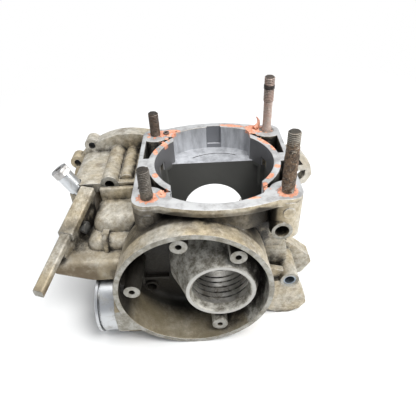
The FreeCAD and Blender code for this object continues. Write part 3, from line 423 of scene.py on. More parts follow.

# %% [markdown]
# ## Material: the castings
# From the bottom up: mottled cast skin, rubbed edges, old oil and dirt with painted shade, the cup and
# its hub, the cut faces, the bore, and sealant on top. Each layer is a colour blended over the last by its
# own mask.

# %% Colours
CAST_TAN = (0.57, 0.485, 0.34, 1)
CAST_TAN_DARK = (0.30, 0.245, 0.155, 1)
CAST_GREY = (0.68, 0.65, 0.58, 1)
CAST_GREY_DARK = (0.37, 0.345, 0.285, 1)
# stains in the skin; also painted shade low on the rail
CAST_STAIN_AND_SHADE = (0.13, 0.095, 0.055, 1)
CAST_RUBBED = (0.72, 0.71, 0.69, 1)
# oil dirt, and painted shade in corners and in the recess beside the front right column
OIL_BLACK_AND_SHADE = (0.016, 0.013, 0.009, 1)
OIL_BROWN = (0.17, 0.14, 0.085, 1)
# painted shade at the top and back of the cup
OIL_DEEP_AND_SHADE = (0.012, 0.010, 0.007, 1)
SEAT_PALE = (0.68, 0.68, 0.67, 1)
SEAT_DULL = (0.44, 0.43, 0.42, 1)
# painted shade: the cut faces that do not look up
SHADED_FACE_PALE = (0.39, 0.38, 0.345, 1)
SHADED_FACE_DULL = (0.20, 0.185, 0.15, 1)
HUB_PALE = (0.58, 0.56, 0.50, 1)
HUB_DARK = (0.15, 0.135, 0.105, 1)
RING_PALE = (0.50, 0.49, 0.46, 1)
RELIEF_PALE = (0.56, 0.57, 0.59, 1)
RELIEF_DULL = (0.30, 0.305, 0.32, 1)
RELIEF_SLOT = (0.21, 0.215, 0.23, 1)
BORE_GREY = (0.17, 0.168, 0.172, 1)
BORE_SOOT = (0.145, 0.145, 0.135, 1)
# old oil and painted shade under the seat's lip
NECK_OIL_AND_SHADE = (0.034, 0.027, 0.018, 1)
# painted shade in the hollows of the ports
PORT_SHADE_GREY = (0.030, 0.033, 0.040, 1)
SEALANT_ORANGE = (0.66, 0.25, 0.145, 1)
SEALANT_PALE = (0.78, 0.43, 0.30, 1)
print("colours named")

# %% Places on the castings, in metres
CRANK = (0, 0, -0.0832)
CUP = (-0.0231, 0, -0.0795)
UPPER_BOSS = (0.052, 0, -0.0315)
LOWER_TUBE = (0.066, 0, -0.098)
JOINT_TUBE = (-0.0986, 0, -0.0218)
BORE_AXIS = (0, 0, 0)
BORE_RADIUS = 0.0556
RELIEF_RADIUS = 0.0682
RELIEF_HALF = 0.0385
SHELF = -0.0245
BORE_HEIGHTS = (-0.0247, -0.0004)
GROOVE_AXIS = (0.0044, 0.0087, 0)
SHARP = 0.0002
print("crank axis", CRANK, "shelf", SHELF)

# %% Machined places of the castings
def machined_mask(tree):
    """Seat, cup rim, pads, mouth ring, tube ends and the cover face at the back."""
    up = both(tree, facing_mask(tree, UP), band_mask(tree, UP, -0.0006, 0.001))
    front = both(tree, facing_mask(tree, FRONT), band_mask(tree, FRONT, 0.0834, 0.1))
    ends = [both(tree, zone_mask(tree, centre, ROUND_Y, radius), band_mask(tree, FRONT, start, end),
                 facing_mask(tree, FRONT))
            for centre, radius, start, end in ((UPPER_BOSS, 0.0089, 0.0665, 0.07),
                                               (LOWER_TUBE, 0.0089, 0.0615, 0.065),
                                               (JOINT_TUBE, 0.0085, -0.0005, 0.001))]
    back = both(tree, facing_mask(tree, BACK), band_mask(tree, BACK, 0.0655, 0.08))
    return either(tree, up, front, *ends, back)


def inward_mask(tree):
    """Sides that look toward the middle of the bore, so that its masks leave the outer skin alone."""
    texture = add(tree, "TexCoord")
    turned = vector_calc(tree, "DOT_PRODUCT", texture.outputs["Normal"], texture.outputs["Object"])
    return calc(tree, "LESS_THAN", turned, 0.0)


def bore_mask(tree):
    """Cylinder bore with its two reliefs; the cup's ceiling, which looks down, is left out."""
    bore = zone_mask(tree, BORE_AXIS, ROUND_Z, BORE_RADIUS, SHARP)
    relief = both(tree, zone_mask(tree, BORE_AXIS, ROUND_Z, RELIEF_RADIUS, SHARP),
                  band_mask(tree, RIGHT, -RELIEF_HALF, RELIEF_HALF))
    not_down = flip(tree, facing_mask(tree, DOWN, 0.4))
    return both(tree, either(tree, bore, relief, slot_mask(tree)),
                band_mask(tree, UP, *BORE_HEIGHTS), not_down)


def slot_mask(tree):
    """Upright slot cut in the back relief."""
    return both(tree, band_mask(tree, RIGHT, -0.0048, 0.0108), band_mask(tree, BACK, 0.0640, 0.0715),
                band_mask(tree, UP, *BORE_HEIGHTS))


def well_mask(tree):
    """The flat walls of the crank well, below the relief's shelf."""
    return both(tree, band_mask(tree, UP, -0.142, SHELF), band_mask(tree, BACK, -0.0356, 0.0356),
                band_mask(tree, RIGHT, -0.0590, 0.0590), zone_mask(tree, CRANK, ROUND_Y, 0.0835))

print("place masks ready")

# %% [markdown]
# ### Plain skin first
# Most of the surface is raw casting: tan where it is dirty, grey where it was wiped, with dark specks
# in the pores. Two mottled colours are mixed by a slow cloud, so neither looks like a flat paint.

# %% Colour of the plain cast skin
casting, tree, shader = new_material("cast_aluminium_skin")
skin = use_group(tree, cast_skin)
# dirt and painted shade in corners
corner_dirt_and_shade = use_group(tree, dirt_shade_group, Reach=0.022, Amount=1.0)
edges = use_group(tree, rubbed, Width=0.0012)
place = object_place(tree)
tan = blend(tree, skin.outputs["Mottle"], CAST_TAN_DARK, CAST_TAN)
grey = blend(tree, skin.outputs["Mottle"], CAST_GREY_DARK, CAST_GREY)
colour = blend(tree, skin.outputs["Cloud"], tan, grey)
colour = blend(tree, scale(tree, skin.outputs["Stain"], 0.6), colour, CAST_STAIN_AND_SHADE)
colour = blend(tree, scale(tree, skin.outputs["Speck"], 0.5), colour, CAST_STAIN_AND_SHADE)
colour = blend(tree, scale(tree, edges.outputs["Mask"], 0.85), colour, CAST_RUBBED)
print("cast skin")

# %% [markdown]
# ### Where oil, dirt and painted shade lie
# Under the seat's front lip and in the recess beside the front right column, old oil and painted shade
# darken the skin; the ports and the low end of the gearbox and its rail get painted shade, and a patch
# on the loop at the right gets painted light. These places are picked by height and depth in the part's
# own coordinates, and a noise frays them.

# %% Old oil and painted shade under the seat, painted shade in the ports and low on the gearbox
side_x, side_y, side_z = add(tree, "SeparateXYZ", Vector=place).outputs
# the oil and painted shade start higher at the middle of the seat's front edge than near its corners
lip = ramp(tree, calc(tree, "ABSOLUTE", side_x), 0.030, 0.052, 0.0065, 0.0)
below_lip = ramp(tree, calc(tree, "SUBTRACT", side_z, lip), -0.0080, -0.0100)
# painted shade with some old oil under the seat's front lip
under_seat_oil_shade = both(tree, ramp(tree, side_z, -0.056, -0.030), below_lip, ramp(tree, side_y, -0.030, -0.044),
                  ramp(tree, side_y, -0.0735, -0.0700), ramp(tree, side_x, 0.0485, 0.0455))
# painted shade in the recess beside the front right column
recess_shade = both(tree, under_seat_oil_shade, ramp(tree, side_x, 0.020, 0.032))
fray_noise = noise(tree, place, 70.0, 6.0, 0.72)
under_seat_oil_shade = both(tree, under_seat_oil_shade, ramp(tree, fray_noise, 0.30, 0.60, 0.55, 1.0))
colour = blend(tree, scale(tree, under_seat_oil_shade, 0.9), colour, NECK_OIL_AND_SHADE)
colour = blend(tree, scale(tree, recess_shade, 0.85), colour, OIL_BLACK_AND_SHADE)
# painted shade along the foot of the seat's lip
lip_foot_shade = both(tree, ramp(tree, side_z, -0.0025, -0.0050), ramp(tree, side_z, -0.0104, -0.0096),
                ramp(tree, side_y, -0.030, -0.044), ramp(tree, side_x, 0.0485, 0.0455))
colour = blend(tree, scale(tree, lip_foot_shade, 0.62), colour, NECK_OIL_AND_SHADE)
# painted shade: the hollows of the ports round the bore turn blue-black
port_shade = use_group(tree, dirt_shade_group, Reach=0.045, Amount=1.0)
ports = both(tree, port_shade.outputs["Mask"], band_mask(tree, RIGHT, -0.0655, 0.0655),
             band_mask(tree, BACK, -0.0480, 0.0480), band_mask(tree, UP, -0.070, -0.0006))
colour = blend(tree, ports, colour, PORT_SHADE_GREY)
# painted shade low on the gearbox
low_gear_shade = both(tree, ramp(tree, side_x, -0.064, -0.080), ramp(tree, side_z, -0.050, -0.066))
low_gear_shade = both(tree, low_gear_shade, ramp(tree, fray_noise, 0.32, 0.62, 0.40, 0.95))
colour = blend(tree, low_gear_shade, colour, CAST_TAN_DARK)
# painted shade low on the rail
low_rail_shade = both(tree, ramp(tree, side_x, -0.104, -0.110), ramp(tree, side_z, -0.056, -0.064))
low_rail_shade = both(tree, low_rail_shade, ramp(tree, fray_noise, 0.35, 0.60, 0.40, 0.95))
colour = blend(tree, low_rail_shade, colour, CAST_STAIN_AND_SHADE)
# painted light: a patch on the loop at the right is made paler
loop_painted_light = both(tree, ramp(tree, side_x, 0.078, 0.084), ramp(tree, side_y, 0.0, 0.006),
                  ramp(tree, side_z, -0.060, -0.050))
colour = blend(tree, scale(tree, loop_painted_light, 0.3), colour, CAST_RUBBED)
print("oil and dirt")

# %% [markdown]
# ### The cup and its hub
# The flywheel ran in the cup, which is brown with oil in patches and turns near black towards its top
# and its back, as painted shade, while the hub round the crank was wiped to mottled grey. A round zone
# about the crank axis parts the two.

# %% Oily inside of the cup with painted shade at its top and back, and the paler hub in its middle
in_cup = both(tree, zone_mask(tree, CUP, ROUND_Y, 0.0646, SHARP),
              band_mask(tree, BACK, -0.0886, -0.030))
oil_noise = noise(tree, place, 34.0, 7.0, 0.7)
cup_oil_and_shade = ramp(tree, oil_noise, 0.30, 0.62, 0.45, 0.95)
# painted shade: the cup turns near black towards its top and its back
cup_shade = either(tree, ramp(tree, side_z, -0.125, -0.098), ramp(tree, side_y, -0.068, -0.052))
cup_oil_and_shade = both(tree, in_cup, either(tree, cup_oil_and_shade, scale(tree, cup_shade, 0.97)))
cup_oil_and_shade_colour = blend(tree, cup_shade, OIL_BROWN, OIL_DEEP_AND_SHADE)
colour = blend(tree, cup_oil_and_shade, colour, cup_oil_and_shade_colour)
hub = both(tree, in_cup, zone_mask(tree, CRANK, ROUND_Y, 0.0462, 0.0008))
hub_noise = ramp(tree, noise(tree, place, 130.0, 7.0, 0.75), 0.36, 0.64)
colour = blend(tree, hub, colour, blend(tree, hub_noise, HUB_DARK, HUB_PALE))
# dirt and painted shade darken the corners of both castings
colour = blend(tree, corner_dirt_and_shade.outputs["Mask"], colour, OIL_BLACK_AND_SHADE)
print("cup and hub")

# %% [markdown]
# ### Cut metal
# The seat, the rims and the pads were milled bright and have dulled in patches; the cut faces that do
# not look up are given a darker colour than the seat, as painted shade. The bore is darker, its reliefs
# are pale, and the crank well below is sooty. All are masks over the same casting.

# %% Machined faces and the bore
cut_faces = machined_mask(tree)
inward = inward_mask(tree)
well = both(tree, well_mask(tree), inward)
bore = either(tree, both(tree, bore_mask(tree), inward), well)
up_face = facing_mask(tree, UP)
seat_noise = ramp(tree, noise(tree, place, 60.0, 7.0, 0.72), 0.44, 0.66)
face_noise = ramp(tree, noise(tree, place, 105.0, 8.0, 0.78), 0.36, 0.62)
seat_colour = blend(tree, seat_noise, SEAT_PALE, SEAT_DULL)
# painted shade: cut faces that do not look up get a darker colour than the seat
shaded_front_colour = blend(tree, face_noise, SHADED_FACE_PALE, SHADED_FACE_DULL)
boss_ring = zone_mask(tree, CRANK, ROUND_Y, 0.0312)
shaded_front_colour = blend(tree, scale(tree, boss_ring, 0.8), shaded_front_colour, RING_PALE)
colour = blend(tree, cut_faces, colour, blend(tree, up_face, shaded_front_colour, seat_colour))
streaks = add(tree, "Mapping", Vector=place, Scale=(1.0, 1.0, 0.25))
bore_noise = ramp(tree, noise(tree, streaks.outputs["Vector"], 90.0, 6.0, 0.7), 0.35, 0.7)
relief_colour = blend(tree, bore_noise, RELIEF_PALE, RELIEF_DULL)
beyond_bore = flip(tree, zone_mask(tree, BORE_AXIS, ROUND_Z, 0.0549, SHARP))
above_shelf = band_mask(tree, UP, SHELF, 0.0)
pale_relief = both(tree, above_shelf, either(tree, beyond_bore, up_face))
bore_colour = blend(tree, pale_relief, BORE_GREY, relief_colour)
slot = both(tree, slot_mask(tree), flip(tree, up_face))
bore_colour = blend(tree, slot, bore_colour, RELIEF_SLOT)
groove_outer = zone_mask(tree, GROOVE_AXIS, ROUND_Z, 0.04455, SHARP / 2)
groove_inner = zone_mask(tree, GROOVE_AXIS, ROUND_Z, 0.04355, SHARP / 2)
shelf_groove = both(tree, groove_outer, flip(tree, groove_inner), band_mask(tree, BACK, 0.0380, 0.0560),
                    band_mask(tree, RIGHT, -0.0200, 0.0245), band_mask(tree, UP, -0.0262, -0.0235))
bore_colour = blend(tree, shelf_groove, bore_colour, OIL_DEEP_AND_SHADE)
bore_colour = blend(tree, well, bore_colour, BORE_SOOT)
in_bore = both(tree, bore, flip(tree, cut_faces))
colour = blend(tree, in_bore, colour, bore_colour)
print("machined faces and bore")

# %% [markdown]
# ### Film on top, then gloss
# The thin orange film lies over every other layer. Clean metal is given more metallic and less
# roughness than dirt, and the bump is nearly flat where a cutter passed.

# %% Sealant film over the seat, then the shader's other inputs
seal = use_group(tree, film, Cover=0.52)
on_seat = both(tree, seal.outputs["Mask"], band_mask(tree, UP, -0.0035, 0.001))
orange_noise = ramp(tree, noise(tree, place, 300.0, 3.0), 0.35, 0.7)
orange = blend(tree, orange_noise, SEALANT_ORANGE, SEALANT_PALE)
colour = blend(tree, on_seat, colour, orange)
clean = flip(tree, either(tree, corner_dirt_and_shade.outputs["Mask"], on_seat, scale(tree, cup_oil_and_shade, 0.6)))
cut_or_bore = either(tree, cut_faces, in_bore)
metal = ramp(tree, cut_faces, 0.0, 1.0, 0.40, 0.75)
rough = ramp(tree, cut_or_bore, 0.0, 1.0, 0.54, 0.46)
rough = calc(tree, "MULTIPLY_ADD", skin.outputs["Stain"], 0.14, rough)
put(tree, shader, Base_Color=colour, Metallic=scale(tree, metal, clean), Roughness=rough)
grain_height = scale(tree, skin.outputs["Height"], ramp(tree, cut_or_bore, 0.0, 1.0, 1.0, 0.10))
grain_height = calc(tree, "MULTIPLY_ADD", on_seat, 0.8, grain_height)
bump(tree, shader, grain_height, 0.0011, 0.75, edge=0.0009)
for name in ("flywheel_side_case", "drive_side_case"):
    paint(solids[name], casting)
print("castings painted")

# %% [markdown]
# ## Material: turned metal
# Sleeves, the race and the fitting were turned on a lathe, which leaves fine rings round their axis.
# A noise in one dimension, read by the distance from the axis plus the place along it, gives those
# lines, and each piece puts the axis in its own middle with a Mapping node.

# %% Turned metal
LATHE_LINES = 2600.0


def turned_metal(name, tint, centre, turn, roughness, stain_colour, stain_amount):
    """Metal with lathe lines round an axis through centre."""
    material, tree, shader = new_material(name)
    place = object_place(tree)
    centred = add(tree, "Mapping", Vector=place)
    centred.vector_type = "TEXTURE"
    centred = put(tree, centred, Location=centre, Rotation=turn).outputs["Vector"]
    reach = vector_calc(tree, "LENGTH", vector_calc(tree, "MULTIPLY", centred, ROUND_Z))
    lines = add(tree, "TexNoise")
    lines.noise_dimensions = "1D"
    along = add(tree, "SeparateXYZ", Vector=centred).outputs["Z"]
    put(tree, lines, Scale=LATHE_LINES, W=calc(tree, "ADD", reach, along))
    stains = ramp(tree, noise(tree, place, 95.0, 5.0, 0.7, 0.6), 0.45, 0.68)
    # dirt and painted shade in the corners of each turned piece
    corner_dirt_and_shade = use_group(tree, dirt_shade_group, Reach=0.006, Amount=0.85)
    colour = blend(tree, scale(tree, stains, stain_amount), tint, stain_colour)
    colour = blend(tree, corner_dirt_and_shade.outputs["Mask"], colour, OIL_BLACK_AND_SHADE)
    put(tree, shader, Base_Color=colour, Metallic=0.85,
        Roughness=ramp(tree, stains, 0.0, 1.0, roughness, roughness + 0.22))
    bump(tree, shader, lines.outputs[0], 0.00008, 0.5)
    return material

AXIS_Y = (math.radians(90), 0, 0)
AXIS_X = (0, math.radians(90), 0)
AXIS_Z = (0, 0, 0)
FITTING = (-0.1295, 0.004, -0.03)
# colour, a point on the axis, the axis, roughness, colour of the stains, how much of them
TURNED = {
    "spigot_sleeve": ((0.50, 0.51, 0.52, 1), (0, -0.0595, -0.113), AXIS_X, 0.32, (0.30, 0.28, 0.24, 1), 0.6),
    "seal_sleeve": ((0.62, 0.60, 0.56, 1), CRANK, AXIS_Y, 0.33, (0.16, 0.135, 0.10, 1), 0.7),
    "bearing_race": ((0.78, 0.77, 0.74, 1), CRANK, AXIS_Y, 0.22, (0.2, 0.18, 0.15, 1), 0.4),
    "bearing_circlip": ((0.10, 0.10, 0.10, 1), CRANK, AXIS_Y, 0.35, (0.06, 0.05, 0.05, 1), 0.4),
    "lug_bush": ((0.36, 0.42, 0.48, 1), LOWER_TUBE, AXIS_Y, 0.3, (0.12, 0.12, 0.12, 1), 0.6),
    "tube_dowel": ((0.4, 0.4, 0.4, 1), LOWER_TUBE, AXIS_Y, 0.3, (0.12, 0.12, 0.12, 1), 0.6),
    "seat_dowel": ((0.42, 0.40, 0.38, 1), (-0.0456, 0.0556, 0), AXIS_Z, 0.35, (0.25, 0.16, 0.12, 1), 0.7),
    "joint_pin_left": ((0.4, 0.4, 0.4, 1), (-0.0615, 0, -0.02), AXIS_Y, 0.3, (0.2, 0.2, 0.2, 1), 0.5),
    "joint_pin_right": ((0.4, 0.4, 0.4, 1), (0.0615, 0, -0.02), AXIS_Y, 0.3, (0.2, 0.2, 0.2, 1), 0.5),
    "cable_fitting": ((0.62, 0.64, 0.66, 1), FITTING, AXIS_Z, 0.34, (0.36, 0.34, 0.30, 1), 0.6),
    "fitting_nut": ((0.46, 0.45, 0.44, 1), FITTING, AXIS_Z, 0.3, (0.10, 0.085, 0.065, 1), 0.9),
    "rail_screw": ((0.60, 0.60, 0.58, 1), (-0.124, -0.028, -0.049), AXIS_Z, 0.3, (0.14, 0.12, 0.10, 1), 0.8),
    "stud_collar": ((0.45, 0.42, 0.38, 1), (0.0565, 0.0539, 0), AXIS_Z, 0.4, (0.2, 0.14, 0.1, 1), 0.8)}
for name, values in TURNED.items():
    paint(solids[name], turned_metal(name + "_metal", *values))
print("turned pieces", len(TURNED))

# %% [markdown]
# ## Joint flange and rib of the gearbox
# Where the two castings meet, a flange runs along the top of the near half and closes it against the
# far half, and a narrow rib stands on its bulge. Both are cast on, so they have rounded edges and
# share the skin of the castings, whose pattern runs on over them because it reads Object coordinates.

# %% Cast bars
def fresh_start():
    """Leaves edit mode and deselects everything, because an operator acts on all that is selected."""
    if bpy.context.object and bpy.context.object.mode == "EDIT":
        bpy.ops.object.mode_set(mode="OBJECT")
    bpy.ops.object.select_all(action="DESELECT")


def edit_all():
    """Enters edit mode with the whole mesh selected."""
    bpy.ops.object.mode_set(mode="EDIT")
    bpy.ops.mesh.select_all(action="SELECT")


def settle(piece):
    """Puts the object at the origin and its place in the mesh, with the normals outwards."""
    edit_all()
    bpy.ops.mesh.normals_make_consistent(inside=False)
    bpy.ops.object.mode_set(mode="OBJECT")
    bpy.ops.object.transform_apply(location=True, rotation=True, scale=True)
    bpy.ops.object.shade_smooth_by_angle(angle=math.radians(40))
    print(piece.name, "faces", len(piece.data.polygons))


def cast_bar(name, low_corner, high_corner, rounding, slim_end):
    """Bar between two corners with rounded edges, its front narrowed a little for the mould's draft."""
    low_corner, high_corner = Vector(low_corner), Vector(high_corner)
    middle = (low_corner + high_corner) / 2
    fresh_start()
    bpy.ops.mesh.primitive_cube_add(size=1.0, location=middle, scale=high_corner - low_corner)
    bar = bpy.context.object
    bar.name = name
    for face in bar.data.polygons:
        face.select = face.normal.y < -0.9
    bpy.ops.object.mode_set(mode="EDIT")
    bpy.ops.mesh.select_mode(type="FACE")
    front_middle = (middle.x, low_corner.y, middle.z)
    bpy.ops.transform.resize(value=(slim_end, 1, slim_end), center_override=front_middle)
    bpy.ops.mesh.select_all(action="SELECT")
    bpy.ops.mesh.bevel(offset=rounding, segments=4, affect="EDGES")
    bpy.ops.object.mode_set(mode="OBJECT")
    settle(bar)
    bar.data.materials.append(casting)
    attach(bar, "root")

cast_bar("gearbox_flange", (-0.1085, -0.0056, -0.0405), (-0.0600, -0.0004, -0.0226), 0.0016, 0.98)
cast_bar("gearbox_rib", (-0.1020, -0.0530, -0.0640), (-0.0965, -0.0440, -0.0410), 0.0012, 0.8)
print("flange and rib")

# %% [markdown]
# ## The studs: real threads
# Four steel studs hold the cylinder down. Their threads show against the white room, so bump is not
# enough. The Screw modifier sweeps one tooth up a helix, as a die cuts it; two bisect cuts make the
# ends square, and the top is extruded and drawn in for the chamfer a lathe leaves.

# %% Threaded rod
THREAD_PITCH = 0.0015
THREAD_CREST = 0.0050
THREAD_ROOT = 0.0042
END_CHAMFER = 0.0009


def threaded_rod(name, spot, bottom, top):
    """Rod with a swept thread between two heights, square at both ends and chamfered on top."""
    x, y = spot
    fresh_start()
    start = (x, y, bottom - 1.5 * THREAD_PITCH)
    bpy.ops.mesh.primitive_plane_add(size=THREAD_CREST, location=start)
    rod = bpy.context.object
    rod.name = name
    bpy.ops.object.mode_set(mode="EDIT")
    bpy.ops.mesh.select_mode(type="VERT")
    bpy.ops.mesh.select_all(action="SELECT")
    bpy.ops.mesh.merge(type="CENTER")
    bpy.ops.transform.translate(value=(THREAD_ROOT, 0, 0))
    depth = THREAD_CREST - THREAD_ROOT
    for out, rise in ((depth, 0.4), (0, 0.15), (-depth, 0.45)):
        step = (out, 0, rise * THREAD_PITCH)
        bpy.ops.mesh.extrude_region_move(TRANSFORM_OT_translate={"value": step})
    bpy.ops.object.mode_set(mode="OBJECT")
    sweep = rod.modifiers.new("sweep", "SCREW")
    sweep.steps = 28
    sweep.render_steps = 28
    sweep.screw_offset = THREAD_PITCH
    sweep.iterations = math.ceil((top - bottom) / THREAD_PITCH) + 3
    bpy.ops.object.modifier_apply(modifier="sweep")
    edit_all()
    bpy.ops.mesh.remove_doubles(threshold=0.00002)
    shoulder = (x, y, top - END_CHAMFER)
    bpy.ops.mesh.bisect(plane_co=shoulder, plane_no=UP, use_fill=True, clear_outer=True)
    bpy.ops.mesh.extrude_region_move(TRANSFORM_OT_translate={"value": (0, 0, END_CHAMFER)})
    bpy.ops.transform.resize(value=(0.78, 0.78, 1), center_override=(x, y, top))
    bpy.ops.mesh.select_all(action="SELECT")
    bpy.ops.mesh.bisect(plane_co=(x, y, bottom), plane_no=UP, use_fill=True, clear_inner=True)
    bpy.ops.object.mode_set(mode="OBJECT")
    return rod

print("thread pitch", THREAD_PITCH)

# %% Turned rod
def turned_rod(name, spot, sections, sides=40):
    """Round rod grown upwards: sections are pairs of height and radius."""
    x, y = spot
    bottom, radius = sections[0]
    fresh_start()
    start = (x, y, bottom)
    bpy.ops.mesh.primitive_circle_add(vertices=sides, radius=radius, fill_type="NGON", location=start)
    rod = bpy.context.object
    rod.name = name
    edit_all()
    for height, next_radius in sections[1:]:
        bpy.ops.mesh.extrude_region_move(TRANSFORM_OT_translate={"value": (0, 0, height - bottom)})
        grow = next_radius / radius
        bpy.ops.transform.resize(value=(grow, grow, 1), center_override=(x, y, height))
        bottom, radius = height, next_radius
    bpy.ops.object.mode_set(mode="OBJECT")
    return rod


def join_to(main, *others):
    """Joins pieces into the first one."""
    fresh_start()
    for piece in others:
        piece.select_set(True)
    main.select_set(True)
    bpy.context.view_layer.objects.active = main
    bpy.ops.object.join()
    return main

print("rod helpers ready")

# %% Four studs
STUD_SPOTS = {"front_left": (-0.0565, -0.0539), "front_right": (0.0565, -0.0539),
              "back_left": (-0.0565, 0.0539), "back_right": (0.0565, 0.0539)}
STUD_TOPS = {"front_left": 0.027, "front_right": 0.053, "back_left": 0.024, "back_right": 0.0549}
SHANK_TOP = 0.031
# heights and radii of the plain parts
ROOT = ((-0.0205, 0.0040), (-0.0197, 0.0047), (0.0, 0.0047))
SHANK = ((0.0, 0.0050), (0.003, 0.0050), (0.004, 0.0043), (SHANK_TOP - 0.0012, 0.0043),
         (SHANK_TOP, 0.0046))
TAPE = ((0.0432, 0.0050), (0.0434, 0.0052), (0.0466, 0.0052), (0.0470, 0.0050))
stud_pieces = {}
for place_name, spot in STUD_SPOTS.items():
    top = STUD_TOPS[place_name]
    root_end = turned_rod("root", spot, ROOT)
    if place_name == "back_right":
        upper = threaded_rod("threaded_" + place_name, spot, SHANK_TOP, top)
        shank = turned_rod("shank", spot, SHANK)
        tape = turned_rod("tape", spot, TAPE)
        rod = join_to(upper, shank, root_end, tape)
    else:
        rod = join_to(threaded_rod("threaded_" + place_name, spot, 0.0, top), root_end)
    settle(rod)
    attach(rod, "root")
    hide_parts("stud_" + place_name)
    stud_pieces[place_name] = rod
print("studs", list(stud_pieces))

# %% [markdown]
# ## Crusts on three studs
# Below its clean top the front right stud is caked with rust and burnt oil, thicker than the thread
# itself, and two others have a thinner crust at the foot. A tube of rings is easy to grow by
# extruding, and two Displace modifiers, coarse then fine, make the lumps. Each crust sits on the
# thread as its own piece, so the clean thread still shows above it.

# %% Crusts
def clouds(name, size, depth):
    texture = bpy.data.textures.new(name, "CLOUDS")
    texture.noise_scale = size
    texture.noise_depth = depth
    return texture


def displace(piece, texture, strength):
    """Moves the surface along its normals by a texture, applied at once."""
    change = piece.modifiers.new("lumps", "DISPLACE")
    change.texture = texture
    change.texture_coords = "LOCAL"
    change.strength = strength
    bpy.ops.object.modifier_apply(modifier="lumps")

coarse_lumps = clouds("coarse_lumps", 0.005, 2)
fine_lumps = clouds("fine_lumps", 0.0012, 3)
CRUST_BITE = 0.0003
CRUST_CAP = 0.0004
RING_GAP = 0.00005


def crust(name, spot, bottom, top, thick, rings, rough):
    """Lumpy tube round a stud, thin at its top and bottom."""
    rise = (top - bottom) / rings
    sections = [(bottom, THREAD_ROOT)]
    for ring in range(rings + 1):
        fullness = min(1.0, 4.0 * min(ring + 0.4, rings - ring) / rings)
        radius = THREAD_CREST - CRUST_BITE + thick * fullness
        sections.append((bottom + ring * rise + RING_GAP, radius))
    sections.append((top + CRUST_CAP, THREAD_ROOT))
    piece = turned_rod(name, spot, sections, sides=72)
    settle(piece)
    displace(piece, coarse_lumps, 2.2 * rough)
    displace(piece, fine_lumps, rough)
    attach(piece, "root")
    return piece

right, left, back = STUD_SPOTS["front_right"], STUD_SPOTS["front_left"], STUD_SPOTS["back_left"]
crust_right = crust("rust_crust_front_right", right, 0.0005, 0.0435, 0.0007, 60, 0.0007)
crust_left = crust("grime_crust_front_left", left, 0.0003, 0.0085, 0.0003, 16, 0.0006)
crust_back = crust("rust_crust_back_left", back, 0.0003, 0.0165, 0.0002, 30, 0.0005)
print("crusts", crust_right.name, crust_left.name, crust_back.name)

# %% [markdown]
# ## Material: rusty threads
# The studs are threaded steel with dry rust, and old oil in the grooves. The mesh has a real
# thread, so a group only measures how far a point lies from the axis: near the root it is dark, and
# on the crest it is rubbed.

# %% Thread depth group
thread, thread_in, thread_out = new_group(
    "thread_depth", [("Centre", VECTOR, (0, 0, 0))], [("Height", FLOAT)])
from_axis = vector_calc(thread, "SUBTRACT", object_place(thread), thread_in.outputs["Centre"])
from_axis = vector_calc(thread, "LENGTH", vector_calc(thread, "MULTIPLY", from_axis, ROUND_Z))
put(thread, thread_out, Height=ramp(thread, from_axis, THREAD_ROOT, THREAD_CREST))
print("group", thread.name)

# %% Stud materials
def stud_metal(name, centre, bare, rust, rust_amount, smooth_to=0.0, dark_band=None):
    """Threaded steel; the shank can be smooth up to a height, and a black band can cross it."""
    material, tree, shader = new_material(name)
    place = object_place(tree)
    crest = use_group(tree, thread, Centre=centre).outputs["Height"]
    crest = either(tree, crest, band_mask(tree, UP, 0.0, smooth_to))
    rust_noise = ramp(tree, noise(tree, place, 170.0, 6.0, 0.72, 0.8), 0.38, 0.62)
    colour = blend(tree, scale(tree, rust_noise, rust_amount), bare, rust)
    colour = blend(tree, ramp(tree, crest, 0.0, 0.7, 0.85, 0.0), colour, OIL_BLACK_AND_SHADE)
    fine = noise(tree, place, 900.0, 4.0, 0.7)
    colour = blend(tree, ramp(tree, fine, 0.45, 0.7, 0.0, 0.5), colour, (0.06, 0.042, 0.03, 1))
    if dark_band is not None:
        stripe = band_mask(tree, UP, *dark_band)
        colour = blend(tree, scale(tree, stripe, 0.95), colour, (0.014, 0.012, 0.011, 1))
    put(tree, shader, Base_Color=colour, Metallic=ramp(tree, rust_noise, 0.0, 1.0, 0.75, 0.2),
        Roughness=ramp(tree, rust_noise, 0.0, 1.0, 0.40, 0.72))
    bump(tree, shader, calc(tree, "ADD", fine, rust_noise), 0.0003, 0.8)
    return material

# bare steel, rust, how much of it, and on one stud the smooth shank's top and the black band's heights
STUDS = {
    "front_left": ((0.24, 0.22, 0.19, 1), (0.12, 0.10, 0.08, 1), 0.8),
    "back_left": ((0.24, 0.20, 0.17, 1), (0.12, 0.075, 0.05, 1), 0.95),
    "front_right": ((0.42, 0.40, 0.35, 1), (0.22, 0.17, 0.12, 1), 0.8),
    "back_right": ((0.50, 0.42, 0.37, 1), (0.42, 0.25, 0.19, 1), 0.55, 0.0305, (0.0430, 0.0472))}
for name, values in STUDS.items():
    paint(stud_pieces[name], stud_metal(name + "_steel", (*STUD_SPOTS[name], 0), *values))
print("studs", len(STUDS))

# %% Rust material
def crust_material(name, dry, burnt, pale):
    """Rust in three tones that change every few millimetres."""
    material, tree, shader = new_material(name)
    place = object_place(tree)
    patches = noise(tree, place, 190.0, 6.0, 0.75, 0.8)
    flecks = noise(tree, place, 520.0, 5.0, 0.7)
    colour = blend(tree, ramp(tree, patches, 0.40, 0.56), burnt, dry)
    colour = blend(tree, ramp(tree, flecks, 0.56, 0.66), colour, pale)
    put(tree, shader, Base_Color=colour, Roughness=ramp(tree, flecks, 0.3, 0.7, 0.85, 0.55))
    bump(tree, shader, calc(tree, "ADD", patches, flecks), 0.0008, 0.9)
    return material

